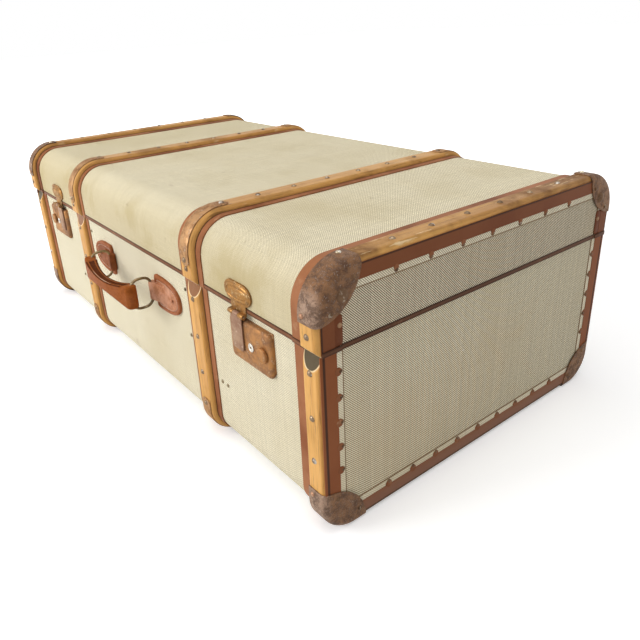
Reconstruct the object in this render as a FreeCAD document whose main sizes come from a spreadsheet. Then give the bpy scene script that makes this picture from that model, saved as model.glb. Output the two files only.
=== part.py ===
import FreeCAD
import Part
import Sketcher
import math
import os

# Cabin trunk lying on its bottom. Millimetres, +X along the length, +Y to the back, +Z up.
# The origin lies on the floor under the middle of the whole, handle included.

# Driving sizes of the trunk.
VALUES = {
    # carcass over the canvas
    "length": 813.0,
    "depth": 438.0,
    "base_high": 194.0,
    "lid_high": 73.0,
    "part_gap": 0.4,
    "front_over": 3.0,
    "end_over": 2.0,
    "bend_low": 30.0,
    "bend_top": 38.0,
    # sheet materials
    "canvas": 0.8,
    "ply": 6.0,
    "end_ply": 8.0,
    "lining": 0.8,
    "fibre": 1.3,
    # bentwood slats
    "slat_wide": 28.0,
    "end_slat_wide": 24.0,
    "slat_high": 5.5,
    "slat_round": 4.6,
    "bevel_low": 16.0,
    "bevel_top": 6.0,
    # fibre bands, end edging, canvas strip and lid binding
    "band_wide": 50.0,
    "edge_wide": 40.0,
    "edge_fold": 13.2,
    "strip_wide": 7.6,
    "strip_thick": 0.6,
    "bind_high": 5.0,
    "bind_thick": 0.8,
    # rim lip and tray runners inside the base
    "lip_thick": 3.0,
    "lip_stand": 9.0,
    "lip_deep": 40.0,
    "runner_thick": 12.0,
    "runner_high": 14.0,
    "runner_drop": 79.8,
    # metal round the bends
    "clip_wide": 18.0,
    "clip_thick": 1.0,
    "clip_tail": 14.0,
    "cap_thick": 1.2,
    "cap_low": 52.0,
    "cap_top": 52.0,
    "cap_round": 7.4,
    "cap_bend": 5.2,
    "cap_in": 2.0,
    "floor_clear": 0.3,
    # fasteners
    "rivet_head": 6.6,
    "rivet_rise": 2.0,
    "rivet_shank": 2.6,
    "rivet_grip": 4.0,
    "nail_head": 5.0,
    "nail_rise": 1.5,
    "nail_shank": 2.0,
    "nail_grip": 5.0,
    "boss_head": 13.0,
    "boss_rise": 2.6,
    "boss_in": 21.5,
    "top_in": 93.0,
    "wall_pitch": 47.0,
    "wall_first": 20.0,
    "lid_first": 17.0,
    "end_in": 85.5,
    "foot_in": 77.0,
    "side_in": 13.75,
    "side_top": 21.25,
    "strap_in": 6.0,
    "strap_pair": 10.0,
    "strap_step": 12.0,
    "strap_drop": 113.8,
    # handle
    "handle_drop": 45.8,
    "bar_out": 68.0,
    "bar_stand": 6.2,
    "bar_reach": 35.4,
    "wire": 3.6,
    "ring_turn": 3.0,
    "run_clear": 0.09,
    "chape_neck": 3.0,
    "chape_long": 58.0,
    "chape_gap": 21.8,
    "chape_half": 21.0,
    "nose_half": 11.0,
    "nose_radius": 12.0,
    "chape_swell": 5.5,
    "chape_thick": 4.5,
    "roll_radius": 4.3,
    "roll_half": 11.0,
    "grip_end": 8.0,
    "grip_bow": 5.5,
    "grip_sag": 11.0,
    "grip_tall": 15.5,
    "grip_waist": 7.0,
    "grip_neck": 8.0,
    "grip_soft": 3.0,
    "chape_soft": 1.6,
    # locks
    "hasp_in": 8.0,
    "plate_in": 8.0,
    "case_in": 5.0,
    "lock_drop": 8.8,
    "lock_high": 50.5,
    "lock_corner": 7.0,
    "flange": 1.0,
    "case_wall": 1.0,
    "notch_clear": 2.0,
    "hasp_wide": 27.0,
    "hasp_thick": 1.6,
    "hasp_clear": 0.4,
    "hasp_drop": 3.0,
    "knuckle": 2.8,
    "hasp_pin": 2.4,
    "staple_wide": 6.0,
    "staple_web": 3.5,
    "staple_back": 0.9,
    "staple_clear": 0.3,
    "staple_drop": 0.5,
    "strap_foot": 3.5,
    "eye_side": 1.0,
    "eye_clear": 0.25,
    "bolt_high": 4.0,
    "bolt_thick": 1.7,
    "bolt_clear": 0.35,
    "bolt_travel": 7.5,
    "tip_clear": 2.5,
    "tail_over": 2.5,
    "tail_clear": 2.0,
    "button_gap": 0.8,
    "button_neck": 5.0,
    "button_wide": 16.0,
    "button_rise": 3.2,
    "neck_clear": 0.4,
    "bush_gap": 0.8,
    "bush_wide": 9.4,
    "bush_thick": 1.0,
    "key_wide": 2.6,
    "oval_wide": 48.0,
    "oval_high": 27.0,
    "oval_thick": 2.0,
    "tongue_high": 26.0,
    # back hinges
    "hinge_out": 4.0,
    "leaf_wide": 44.0,
    "leaf_high": 30.0,
    "leaf_thick": 1.2,
    "leaf_edge": 4.0,
    "barrel": 3.1,
    "hinge_pin": 3.0,
    "barrel_gap": 0.3,
    "barrel_mid": 18.0,
    # overrun of every cut
    "over": 2.0,
}

# Counts along the rows of fasteners.
TOP_COUNT = 6
WALL_COUNT = 3
END_COUNT = 7
FOOT_COUNT = 9
SIDE_COUNT = 5

# Part of the button's height that its edge is rounded by.
DOME_SHARE = 0.6

# Place of the hasp's oval plate on the lid's flat front, from the parting line up.
OVAL_SHARE = 0.58

# Places of the chape rivets along the leather.
CHAPE_RIVET_SHARES = (0.3, 0.8)

doc = FreeCAD.newDocument("Trunk")
sheet = doc.addObject("Spreadsheet::Sheet", "Values")


class Size:
    """A length with its number and the cell formula that gives it."""

    def __init__(self, value, text):
        self.value = value
        self.text = text

    def _joined(self, other, sign, value):
        return Size(value, "(" + self.text + sign + as_size(other).text + ")")

    def __add__(self, other):
        return self._joined(other, " + ", self.value + as_size(other).value)

    def __sub__(self, other):
        return self._joined(other, " - ", self.value - as_size(other).value)

    def __mul__(self, other):
        return self._joined(other, " * ", self.value * as_size(other).value)

    def __truediv__(self, other):
        return self._joined(other, " / ", self.value / as_size(other).value)

    def __neg__(self):
        return Size(-self.value, "(0 - " + self.text + ")")


def as_size(number):
    """A plain count or share as a Size."""
    if isinstance(number, Size):
        return number
    return Size(float(number), repr(number))


def leg(long_side, other):
    """Second leg of the right triangle with this long side."""
    text = "sqrt(" + (long_side * long_side - other * other).text + ")"
    return Size(math.sqrt(long_side.value ** 2 - other.value ** 2), text)


def slope(across, along):
    """Long side of the right triangle with these legs."""
    text = "sqrt(" + (across * across + along * along).text + ")"
    return Size(math.hypot(across.value, along.value), text)


def bow_radius(half, rise):
    """Radius of the arc over a chord of twice half that rises by rise."""
    return (half * half + rise * rise) / (rise * 2)


class Sizes:
    """The driving sizes by name."""


s = Sizes()
for row, (name, number) in enumerate(VALUES.items(), start=1):
    sheet.set("A%d" % row, name)
    sheet.set("B%d" % row, repr(number))
    sheet.setAlias("B%d" % row, name)
    setattr(s, name, Size(number, "Values." + name))
doc.recompute()

ZERO = as_size(0)
nodes = []


def node(obj):
    """Keeps an object as one of the trunk's pieces."""
    nodes.append(obj)
    return obj


def bind(obj, prop, size):
    obj.setExpression(prop, size.text)


def place(obj, x=ZERO, y=ZERO, z=ZERO, turn=None):
    """Sets the placement, bound to the sheet."""
    obj.Placement = FreeCAD.Placement(FreeCAD.Vector(), turn or FreeCAD.Rotation())
    bind(obj, "Placement.Base.x", x)
    bind(obj, "Placement.Base.y", y)
    bind(obj, "Placement.Base.z", z)
    return obj


def flat(u, v):
    return FreeCAD.Vector(u.value, v.value, 0)


def arc_between(start, end, radius):
    """Shorter arc from start to end, counter-clockwise."""
    chord = end - start
    half = chord.Length / 2
    rise = math.sqrt(max(radius * radius - half * half, 0))
    side = FreeCAD.Vector(-chord.y, chord.x, 0)
    side.normalize()
    centre = start + chord * 0.5 + side * rise
    first = math.atan2(start.y - centre.y, start.x - centre.x)
    last = math.atan2(end.y - centre.y, end.x - centre.x)
    if last < first:
        last += 2 * math.pi
    return Part.ArcOfCircle(Part.Circle(centre, FreeCAD.Vector(0, 0, 1), radius), first, last)


def hold(sketch, index, point, u, v):
    """Ties one sketch point to its two sizes."""
    for kind, axis, size in (("DistanceX", -2, u), ("DistanceY", -1, v)):
        if size is ZERO:
            sketch.addConstraint(Sketcher.Constraint("PointOnObject", index, point, axis))
            continue
        rule = sketch.addConstraint(Sketcher.Constraint(kind, -1, 1, index, point, size.value))
        bind(sketch, "Constraints[%d]" % rule, size)


def loop(sketch, corners):
    """Closed outline. A corner is (u, v), or (u, v, radius, ccw) where an arc leaves it."""
    first = sketch.GeometryCount
    count = len(corners)
    ends = []
    for i, corner in enumerate(corners):
        start = flat(*corner[:2])
        end = flat(*corners[(i + 1) % count][:2])
        if len(corner) == 2:
            sketch.addGeometry(Part.LineSegment(start, end), False)
            ends.append((1, 2))
        elif corner[3]:
            sketch.addGeometry(arc_between(start, end, corner[2].value), False)
            ends.append((1, 2))
        else:
            sketch.addGeometry(arc_between(end, start, corner[2].value), False)
            ends.append((2, 1))
    for i, corner in enumerate(corners):
        after = (i + 1) % count
        joint = (first + i, ends[i][1], first + after, ends[after][0])
        sketch.addConstraint(Sketcher.Constraint("Coincident", *joint))
    for i, corner in enumerate(corners):
        hold(sketch, first + i, ends[i][0], corner[0], corner[1])
        if len(corner) > 2:
            rule = sketch.addConstraint(Sketcher.Constraint("Radius", first + i, corner[2].value))
            bind(sketch, "Constraints[%d]" % rule, corner[2])


def sketch_in(body, plane, name, *loops):
    """Sketch on one of the body's own origin planes."""
    sketch = body.newObject("Sketcher::SketchObject", name)
    support = [item for item in body.Origin.OriginFeatures if item.Role == plane][0]
    sketch.AttachmentSupport = [(support, "")]
    sketch.MapMode = "FlatFace"
    for corners in loops:
        loop(sketch, corners)
    return sketch


def prism(name, plane, corners, thick, x=ZERO, y=ZERO, z=ZERO):
    """Body of one outline pushed out square to its plane."""
    body = doc.addObject("PartDesign::Body", name)
    sketch = sketch_in(body, plane, name + "_outline", corners)
    pad = body.newObject("PartDesign::Pad", name + "_pad")
    pad.Profile = sketch
    bind(pad, "Length", thick)
    body.Tip = pad
    return place(body, x, y, z)


def box(name, x, y, z, wide, deep, high):
    obj = doc.addObject("Part::Box", name)
    bind(obj, "Length", wide)
    bind(obj, "Width", deep)
    bind(obj, "Height", high)
    return place(obj, x, y, z)


TURNS = {
    "x": FreeCAD.Rotation(FreeCAD.Vector(0, 1, 0), 90),
    "y": FreeCAD.Rotation(FreeCAD.Vector(1, 0, 0), -90),
    "z": FreeCAD.Rotation(),
}


def rod(name, axis, x, y, z, radius, high):
    """Round bar from the given point along +axis."""
    obj = doc.addObject("Part::Cylinder", name)
    bind(obj, "Radius", radius)
    bind(obj, "Height", high)
    return place(obj, x, y, z, TURNS[axis])


def cut(name, base, tool):
    obj = doc.addObject("Part::Cut", name)
    obj.Base = base
    obj.Tool = tool
    return obj


def fuse(name, parts):
    obj = doc.addObject("Part::MultiFuse", name)
    obj.Shapes = parts
    return obj


def common(name, first, second):
    obj = doc.addObject("Part::Common", name)
    obj.Base = first
    obj.Tool = second
    return obj


def group(name, parts):
    obj = doc.addObject("Part::Compound", name)
    obj.Links = parts
    return obj


def mirrored(name, source, axis, at=ZERO):
    """Mirror image across the plane square to axis."""
    obj = doc.addObject("Part::Mirroring", name)
    obj.Source = source
    obj.Normal = FreeCAD.Vector(*[float(letter == axis) for letter in "xyz"])
    bind(obj, "Base." + axis, at)
    return obj


def edge_names(shape, wanted, middle=None):
    """Names of the edges whose ends and middle satisfy one test, and their middle another."""
    names = []
    for i, edge in enumerate(shape.Edges, start=1):
        low, high = edge.ParameterRange
        centre = edge.valueAt((low + high) / 2)
        if middle and not middle(centre):
            continue
        if all(wanted(point) for point in (edge.valueAt(low), centre, edge.valueAt(high))):
            names.append("Edge%d" % i)
    return names


def soften(name, source, radius, wanted=None):
    """Rounds the edges of a finished form, all of them or those that satisfy the test."""
    doc.recompute()
    names = edge_names(source.Shape, wanted or (lambda point: True))
    obj = doc.addObject("Part::Fillet", name)
    obj.Base = source
    obj.Edges = [(int(text[len("Edge"):]), radius.value, radius.value) for text in names]
    return obj


def rounded(body, tip, name, wanted, radius, middle=None):
    """Rounds the edges of a body's last feature that satisfy the tests."""
    doc.recompute()
    names = edge_names(tip.Shape, wanted, middle)
    if not names:
        raise RuntimeError("no edge to round: " + name)
    fillet = body.newObject("PartDesign::Fillet", name)
    fillet.Base = (tip, names)
    bind(fillet, "Radius", radius)
    body.Tip = fillet
    return fillet


CLOSE = 1e-4
stand = s.fibre + s.slat_high
part_level = stand + s.base_high
half_depth = s.depth / 2
inside = s.canvas + s.ply
# The grip reaches further out than the back rivets, so the carcass sits behind the origin.
grip_out = s.bar_reach + s.grip_end + s.grip_bow
rivet_out = stand + s.clip_thick + s.rivet_rise
mid_y = (grip_out - rivet_out) / 2
# The middle slats flank the handle, and the locks and hinges share the bays outside them.
chape_in = s.bar_out + s.chape_neck
chape_out = chape_in + s.chape_long
chape_tip = chape_out + s.nose_radius - leg(s.nose_radius, s.nose_half)
slat_mid = chape_tip + s.chape_gap + s.band_wide / 2
bay_in = slat_mid + s.band_wide / 2
bay_mid = (bay_in + s.length / 2 - s.edge_wide) / 2


class Side:
    """One half of the trunk: a U of front, flat and back, closed by two ends."""

    def __init__(self, name, front, back, level, end, bend, sign, reach):
        self.name = name
        self.front = front
        self.back = back
        self.level = level
        self.end = end
        self.bend = bend
        self.sign = sign
        self.reach = reach
        self.turn = level + bend * sign
        self.middle = (front + back) / 2

    def path(self, off, bevel=ZERO):
        """Corners of the U at an outward offset, from the front end to the back end."""
        front = self.front - off
        back = self.back + off
        level = self.level - off * self.sign
        end = self.end - bevel * self.sign
        radius = self.bend + off
        ccw = self.sign > 0
        return [
            (front, end),
            (front, self.turn, radius, ccw),
            (self.front + self.bend, level),
            (self.back - self.bend, level, radius, ccw),
            (back, self.turn),
            (back, end),
        ]

    def band(self, inner, outer, bevel=ZERO):
        """Outline between two offsets, open at the parting line."""
        back_way = self.path(inner)[::-1]
        front_way = []
        for i, corner in enumerate(back_way):
            before = back_way[(i + 1) % len(back_way)]
            if len(before) == 4 and i + 1 < len(back_way):
                front_way.append((corner[0], corner[1], before[2], not before[3]))
            else:
                front_way.append(corner[:2])
        return self.path(outer, bevel) + front_way

    def skin(self, y, z):
        """Outward distance of a point from the canvas."""
        high = (self.turn.value - z) * self.sign
        radius = self.bend.value
        if high <= 0:
            return max(self.front.value - y, y - self.back.value)
        if y < self.front.value + radius:
            return math.hypot(y - self.front.value - radius, high) - radius
        if y > self.back.value - radius:
            return math.hypot(y - self.back.value + radius, high) - radius
        return high - radius


def wrap(side, name, inner, outer, start, wide, bevel=ZERO):
    """Sheet, band or slat that follows the U between two offsets."""
    return prism(name, "YZ_Plane", side.band(inner, outer, bevel), wide, x=start)


def both_ends(name, make, start, thick):
    """A flat piece on each end, the right one and its mirror image."""
    right = make(name + "_right", start, thick)
    left = mirrored(name + "_left", right, "x")
    return node(group(name, [right, left]))


def slat(side, name, mid, wide, bevel):
    """Bentwood slat with rounded edges and bevelled ends."""
    top = s.fibre + s.slat_high
    start = mid - wide / 2
    body = wrap(side, name, s.fibre, top, start, wide, bevel)

    def on_crown(point):
        at_side = min(abs(point.x), abs(point.x - wide.value)) < CLOSE
        return at_side and abs(side.skin(point.y, point.z) - top.value) < CLOSE

    rounded(body, body.Tip, name + "_edges", on_crown, s.slat_round)
    return node(body)


def four_corners(side, name, first):
    """A front-right piece, its three mirror images, all in one group."""
    right = group(name + "_right", [first, mirrored(name + "_back", first, "y", side.middle)])
    return [right, mirrored(name + "_left", right, "x")]


def end_block(side, name, off, start, wide, radius):
    """The whole end of one half out to an offset, its outer edge rounded."""
    body = prism(name, "YZ_Plane", side.path(off), wide, x=start)

    def on_edge(point):
        at_end = abs(point.x - wide.value) < CLOSE
        return at_end and abs(side.skin(point.y, point.z) - off.value) < CLOSE

    rounded(body, body.Tip, name + "_round", on_edge, radius)
    return body


def corner_cap(side, name, reach):
    """Pressed steel cap over the end slat and the corner of the end panel."""
    inner = s.fibre + s.slat_high
    outer = inner + s.cap_thick
    start = side.reach - s.end_slat_wide + s.cap_in
    depth = s.end_slat_wide - s.cap_in + s.fibre
    block = end_block(side, name + "_outer", outer, start, depth + s.cap_thick, s.cap_round)
    core = end_block(side, name + "_inner", inner, start - s.over, depth + s.over, s.cap_bend)
    front = side.front - outer
    ccw = side.sign > 0
    edge = s.floor_clear if ccw else side.level + outer
    past = edge if ccw else edge + s.over
    quarter = [
        (front - s.over, past),
        (front + reach, past),
        (front + reach, edge, reach, ccw),
        (front, edge + reach * side.sign),
        (front - s.over, edge + reach * side.sign),
    ]
    if ccw:
        quarter.pop(1)
    region = prism(name + "_region", "YZ_Plane", quarter, depth + s.over * 3, x=start - s.over)
    return common(name, cut(name + "_shell", block, core), region)


def bend_clip(side, name, mid):
    """Narrow plate round the front bend of a middle slat."""
    inner = s.fibre + s.slat_high
    outer = inner + s.clip_thick
    ccw = side.sign > 0
    tail = side.turn + s.clip_tail * side.sign
    near = side.front + side.bend
    if ccw:
        edge = s.floor_clear
        far = [
            (near - leg(side.bend + outer, side.turn - edge), edge),
            (near - leg(side.bend + inner, side.turn - edge), edge, side.bend + inner, not ccw),
        ]
    else:
        far = [
            (near, side.level + outer),
            (near + s.clip_tail, side.level + outer),
            (near + s.clip_tail, side.level + inner),
            (near, side.level + inner, side.bend + inner, not ccw),
        ]
    corners = [
        (side.front - outer, tail),
        (side.front - outer, side.turn, side.bend + outer, ccw),
        *far,
        (side.front - inner, side.turn),
        (side.front - inner, tail),
    ]
    return prism(name, "YZ_Plane", corners, s.clip_wide, x=mid - s.clip_wide / 2)


def fastener(name, head, rise, shank, grip):
    """Domed head on a round shank, standing on the XY plane."""
    body = doc.addObject("PartDesign::Body", name)
    outline = [
        (ZERO, -grip),
        (shank / 2, -grip),
        (shank / 2, ZERO),
        (head / 2, ZERO, bow_radius(head / 2, rise), True),
        (ZERO, rise),
    ]
    sketch = sketch_in(body, "XZ_Plane", name + "_outline", outline)
    turned = body.newObject("PartDesign::Revolution", name + "_turned")
    turned.Profile = sketch
    turned.ReferenceAxis = (sketch, ["V_Axis"])
    turned.Angle = 360
    body.Tip = turned
    return body


def spread(count, first, last):
    """Evenly spaced places from the first to the last."""
    return [first + (last - first) * i / (count - 1) for i in range(count)]


FACING = {
    "top": FreeCAD.Rotation(),
    "front": FreeCAD.Rotation(FreeCAD.Vector(1, 0, 0), 90),
    "back": FreeCAD.Rotation(FreeCAD.Vector(1, 0, 0), -90),
    "right": FreeCAD.Rotation(FreeCAD.Vector(0, 1, 0), 90),
    "left": FreeCAD.Rotation(FreeCAD.Vector(0, 1, 0), -90),
}


def rows(name, spots):
    """All fasteners of one kind of row: (fastener, x, y, z, facing)."""
    shapes = []
    for kind, x, y, z, facing in spots:
        copy = kind.Shape.copy()
        copy.Placement = FreeCAD.Placement(FreeCAD.Vector(x, y, z), FACING[facing])
        shapes.append(copy)
    obj = doc.addObject("Part::Feature", name)
    obj.Shape = Part.makeCompound(shapes)
    return node(obj)


base = Side(
    "base",
    mid_y - half_depth,
    mid_y + half_depth,
    stand,
    part_level,
    s.bend_low,
    1,
    s.length / 2,
)
lid = Side(
    "lid",
    mid_y - half_depth - s.front_over,
    mid_y + half_depth,
    part_level + s.lid_high,
    part_level + s.part_gap,
    s.bend_top,
    -1,
    s.length / 2 + s.end_over,
)

# Fasteners that the rows repeat.
rivet = fastener("rivet", s.rivet_head, s.rivet_rise, s.rivet_shank, s.rivet_grip)
nail = fastener("nail", s.nail_head, s.nail_rise, s.nail_shank, s.nail_grip)
boss = fastener("boss", s.boss_head, s.boss_rise, s.nail_shank, s.nail_grip)
doc.recompute()

for side in (base, lid):
    name = side.name
    wood_reach = side.reach - s.canvas
    inner_reach = wood_reach - s.end_ply
    # bent plywood wrap and the panels that close it
    node(wrap(side, name + "_shell", -inside, -s.canvas, -wood_reach, wood_reach * 2))
    both_ends(
        name + "_ends",
        lambda label, start, thick: prism(label, "YZ_Plane", side.path(-inside), thick, x=start),
        inner_reach,
        s.end_ply,
    )
    # canvas over both, and a strip of it nailed round each end
    node(wrap(side, name + "_canvas", -s.canvas, ZERO, -wood_reach, wood_reach * 2))
    both_ends(
        name + "_end_canvas",
        lambda label, start, thick: prism(label, "YZ_Plane", side.path(ZERO), thick, x=start),
        wood_reach,
        s.canvas,
    )
    strip_in = s.edge_fold + s.strip_wide
    both_ends(
        name + "_end_strips",
        lambda label, start, thick: wrap(side, label, -strip_in, -s.edge_fold, start, thick),
        side.reach,
        s.strip_thick,
    )
    # paper lining
    paper = inside + s.lining
    lining = [wrap(side, name + "_paper", -paper, -inside, -inner_reach, inner_reach * 2)]
    sheet_in = side.path(-paper)
    end_paper = prism(name + "_end_paper", "YZ_Plane", sheet_in, s.lining, x=inner_reach - s.lining)
    lining.append(end_paper)
    lining.append(mirrored(name + "_far_paper", end_paper, "x"))
    node(fuse(name + "_lining", lining))
    # fibre bands under the middle slats and edging at the ends
    bands = []
    for mid, hand in ((-slat_mid, "left"), (slat_mid, "right")):
        start = mid - s.band_wide / 2
        bands.append(wrap(side, name + "_band_" + hand, ZERO, s.fibre, start, s.band_wide))
    node(group(name + "_fibre_bands", bands))
    over_edge = wrap(side, name + "_edge_face", ZERO, s.fibre, side.reach - s.edge_wide, s.edge_wide)
    round_end = wrap(side, name + "_edge_fold", -s.edge_fold, s.fibre, side.reach, s.fibre)
    edging = fuse(name + "_edging", [over_edge, round_end])
    far_edging = mirrored(name + "_far_edging", edging, "x")
    node(group(name + "_fibre_edges", [edging, far_edging]))
    # bentwood slats from left to right
    end_mid = side.reach - s.end_slat_wide / 2
    bevel = s.bevel_low if side is base else s.bevel_top
    slat_mids = (-end_mid, -slat_mid, slat_mid, end_mid)
    slat_wides = (s.end_slat_wide, s.slat_wide, s.slat_wide, s.end_slat_wide)
    for i, (mid, wide) in enumerate(zip(slat_mids, slat_wides), start=1):
        slat(side, "%s_slat_%d" % (name, i), mid, wide, bevel)
    # clips round the bends of the middle slats, caps over the corners
    clip = bend_clip(side, name + "_clip", slat_mid)
    node(group(name + "_bend_clips", four_corners(side, name + "_clips", clip)))
    cap = corner_cap(side, name + "_cap", s.cap_low if side is base else s.cap_top)
    node(group(name + "_corner_caps", four_corners(side, name + "_caps", cap)))
    # slat rivets along the crowns
    crown = (s.fibre + s.slat_high).value
    plate = s.clip_thick.value
    front = side.front.value - crown
    back = side.back.value + crown
    top = side.level.value + crown
    spots = []
    for mid in slat_mids:
        x = mid.value
        if side is base:
            first = part_level.value - s.wall_first.value
            levels = [first - i * s.wall_pitch.value for i in range(WALL_COUNT)]
        else:
            levels = [side.end.value + s.lid_first.value]
            row = spread(TOP_COUNT, (side.front + s.top_in).value, (side.back - s.top_in).value)
            spots += [(rivet, x, y, top, "top") for y in row]
        for level in levels:
            spots.append((rivet, x, front, level, "front"))
            spots.append((rivet, x, back, level, "back"))
        if mid in slat_mids[1:3]:
            tail = side.turn.value + s.clip_tail.value * side.sign / 2
            spots.append((rivet, x, front - plate, tail, "front"))
            spots.append((rivet, x, back + plate, tail, "back"))
            if side is lid:
                turn = s.bend_top.value + s.clip_tail.value / 2
                spots.append((rivet, x, side.front.value + turn, top + plate, "top"))
                spots.append((rivet, x, side.back.value - turn, top + plate, "top"))
    rows(name + "_slat_rivets", spots)
    # nails through the canvas strip, rivets and a boss in the caps
    spots = []
    nail_in = s.edge_fold.value + s.strip_wide.value / 2
    cap_face = (side.reach + s.fibre + s.cap_thick).value
    strip_face = (side.reach + s.strip_thick).value
    cap_reach = s.cap_low.value if side is base else s.cap_top.value
    deep = cap_reach - crown - 2 * s.nail_head.value
    row_level = side.level.value + nail_in * side.sign
    if side is base:
        row = spread(FOOT_COUNT, (side.front + s.foot_in).value, (side.back - s.foot_in).value)
        first = side.level.value + cap_reach + s.side_in.value
        column = spread(SIDE_COUNT, first, (part_level - s.side_top).value)
    else:
        row = spread(END_COUNT, (side.front + s.end_in).value, (side.back - s.end_in).value)
        column = []
    for hand, sign in (("right", 1), ("left", -1)):
        face = sign * strip_face
        cap_x = sign * cap_face
        spots += [(nail, face, y, row_level, hand) for y in row]
        for edge, inward in ((side.front.value, 1), (side.back.value, -1)):
            spots += [(nail, face, edge + nail_in * inward, z, hand) for z in column]
            near = nail_in / 2
            spots.append((nail, cap_x, edge + near * inward, side.level.value + deep * side.sign, hand))
            spots.append((nail, cap_x, edge + deep * inward, side.level.value + near * side.sign, hand))
            if side is lid:
                middle = s.boss_in.value
                spots.append((boss, cap_x, edge + middle * inward, side.level.value - middle, hand))
    rows(name + "_end_nails", spots)

# Fibre binding of the lid's lower edge, between the slats on the front and along both ends.
bind_y = lid.front - s.bind_thick
bays = []
end_bay = lid.reach - s.edge_wide
for hand, left, right in (
    ("left", -end_bay, -slat_mid - s.band_wide / 2),
    ("mid", -slat_mid + s.band_wide / 2, slat_mid - s.band_wide / 2),
    ("right", slat_mid + s.band_wide / 2, end_bay),
):
    bays.append(box("binding_" + hand, left, bind_y, lid.end, right - left, s.bind_thick, s.bind_high))
fold_in = s.edge_fold + s.strip_wide
end_binding = box(
    "binding_end",
    lid.reach,
    lid.front + fold_in,
    lid.end,
    s.bind_thick,
    lid.back - lid.front - fold_in * 2,
    s.bind_high,
)
bays.append(end_binding)
bays.append(mirrored("binding_far_end", end_binding, "x"))
node(group("lid_binding", bays))

# Rim lip inside the base: it stands up into the lid on the front and the ends.
paper = inside + s.lining
lip_y = base.front + paper
lip_x = base.reach - s.canvas - s.end_ply - s.lining
lip_low = part_level - s.lip_deep
lip_high = s.lip_deep + s.lip_stand
lip_front = box("lip_front", -lip_x, lip_y, lip_low, lip_x * 2, s.lip_thick, lip_high)
lip_deep = base.back - paper - s.bend_low - (lip_y + s.lip_thick)
lip_start = lip_y + s.lip_thick
lip_end = box("lip_end", lip_x - s.lip_thick, lip_start, lip_low, s.lip_thick, lip_deep, lip_high)
node(fuse("base_lip", [lip_front, lip_end, mirrored("lip_far_end", lip_end, "x")]))

# Runners for a tray, along the front and the back inside.
runner_level = part_level - s.runner_drop
runner_z = runner_level - s.runner_high / 2
runner = box("runner_front", -lip_x, lip_y, runner_z, lip_x * 2, s.runner_thick, s.runner_high)
far_runner = mirrored("runner_back", runner, "y", base.middle)
node(group("tray_runners", [runner, far_runner]))

# Rivets through the walls: they hold the lip, the runners and the inside straps.
doc.recompute()
spots = []
wall = base.front.value
strap_out = slat_mid - s.band_wide / 2 - s.strap_in
strap_pair = bay_in + s.strap_pair
strap_level = (part_level - s.strap_drop).value
lip_rivet = part_level.value - s.lip_deep.value / 2
for sign in (-1, 1):
    spots.append((nail, sign * strap_out.value, wall, lip_rivet, "front"))
    spots.append((nail, sign * strap_out.value, wall, runner_level.value, "front"))
    spots.append((nail, sign * strap_pair.value, wall, strap_level, "front"))
    spots.append((nail, sign * (strap_pair + s.strap_step).value, wall, strap_level, "front"))
    for x in (strap_out.value, strap_pair.value):
        spots.append((nail, sign * x, base.back.value, runner_level.value, "back"))
rows("wall_rivets", spots)

# Back hinges: outside leaves on three knuckles.
axis_y = base.back + s.hinge_out
hinge_mids = (("left", -bay_mid), ("mid", ZERO), ("right", bay_mid))
leaf_span = s.leaf_wide / 2
bore = s.hinge_pin / 2 + s.run_clear


def hinge_leaf(name, mid, side):
    """Leaf with its knuckles: two on the base, one on the lid."""
    start = mid - leaf_span
    if side.sign > 0:
        low = part_level - s.leaf_edge - s.leaf_high
        tab_low = part_level - s.leaf_edge
    else:
        low = part_level + s.leaf_edge
        tab_low = part_level
    parts = [box(name + "_leaf", start, base.back, low, s.leaf_wide, s.leaf_thick, s.leaf_high)]
    mid_half = s.barrel_mid / 2
    if side.sign > 0:
        side_wide = leaf_span - mid_half - s.barrel_gap
        runs = ((start, side_wide), (mid + mid_half + s.barrel_gap, side_wide))
    else:
        runs = ((mid - mid_half, s.barrel_mid),)
    for i, (left, wide) in enumerate(runs):
        tag = "%s_%d" % (name, i)
        parts.append(box(tag + "_tab", left, base.back, tab_low, wide, s.hinge_out, s.leaf_edge))
        parts.append(rod(tag + "_knuckle", "x", left, axis_y, part_level, s.barrel, wide))
    solid = fuse(name + "_solid", parts)
    radius = s.hinge_pin / 2 if side.sign > 0 else bore
    run = s.leaf_wide + s.over * 2
    return cut(name, solid, rod(name + "_bore", "x", start - s.over, axis_y, part_level, radius, run))


for side in (base, lid):
    leaves = [hinge_leaf("%s_hinge_%s" % (side.name, hand), mid, side) for hand, mid in hinge_mids]
    node(group(side.name + "_hinge_leaves", leaves))
pins = []
for hand, mid in hinge_mids:
    start = mid - leaf_span
    pins.append(rod("hinge_pin_" + hand, "x", start, axis_y, part_level, s.hinge_pin / 2, s.leaf_wide))
node(group("hinge_pins", pins))

# Handle: chapes on the wall, upright ring bars in their rolls, a bowed leather grip.
wall_y = base.front
handle_level = part_level - s.handle_drop
bar_y = wall_y - s.bar_stand
grip_y = wall_y - s.bar_reach
chape_side = slope(s.chape_long, s.chape_half - s.nose_half)
chape_bow = bow_radius(chape_side / 2, s.chape_swell)
chape_leaf = prism(
    "chape_leaf",
    "XZ_Plane",
    [
        (chape_in, handle_level - s.chape_half, chape_bow, True),
        (chape_out, handle_level - s.nose_half, s.nose_radius, True),
        (chape_out, handle_level + s.nose_half, chape_bow, True),
        (chape_in, handle_level + s.chape_half),
    ],
    s.chape_thick,
    y=wall_y,
)
chape_face = wall_y - s.chape_thick
rounded(
    chape_leaf,
    chape_leaf.Tip,
    "chape_edge",
    lambda point: abs(point.y + s.chape_thick.value) < CLOSE,
    s.chape_soft,
    lambda point: point.x > chape_in.value + CLOSE,
)
roll_low = handle_level - s.roll_half
roll = rod("chape_roll", "z", s.bar_out, bar_y, roll_low, s.roll_radius, s.roll_half * 2)
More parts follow.
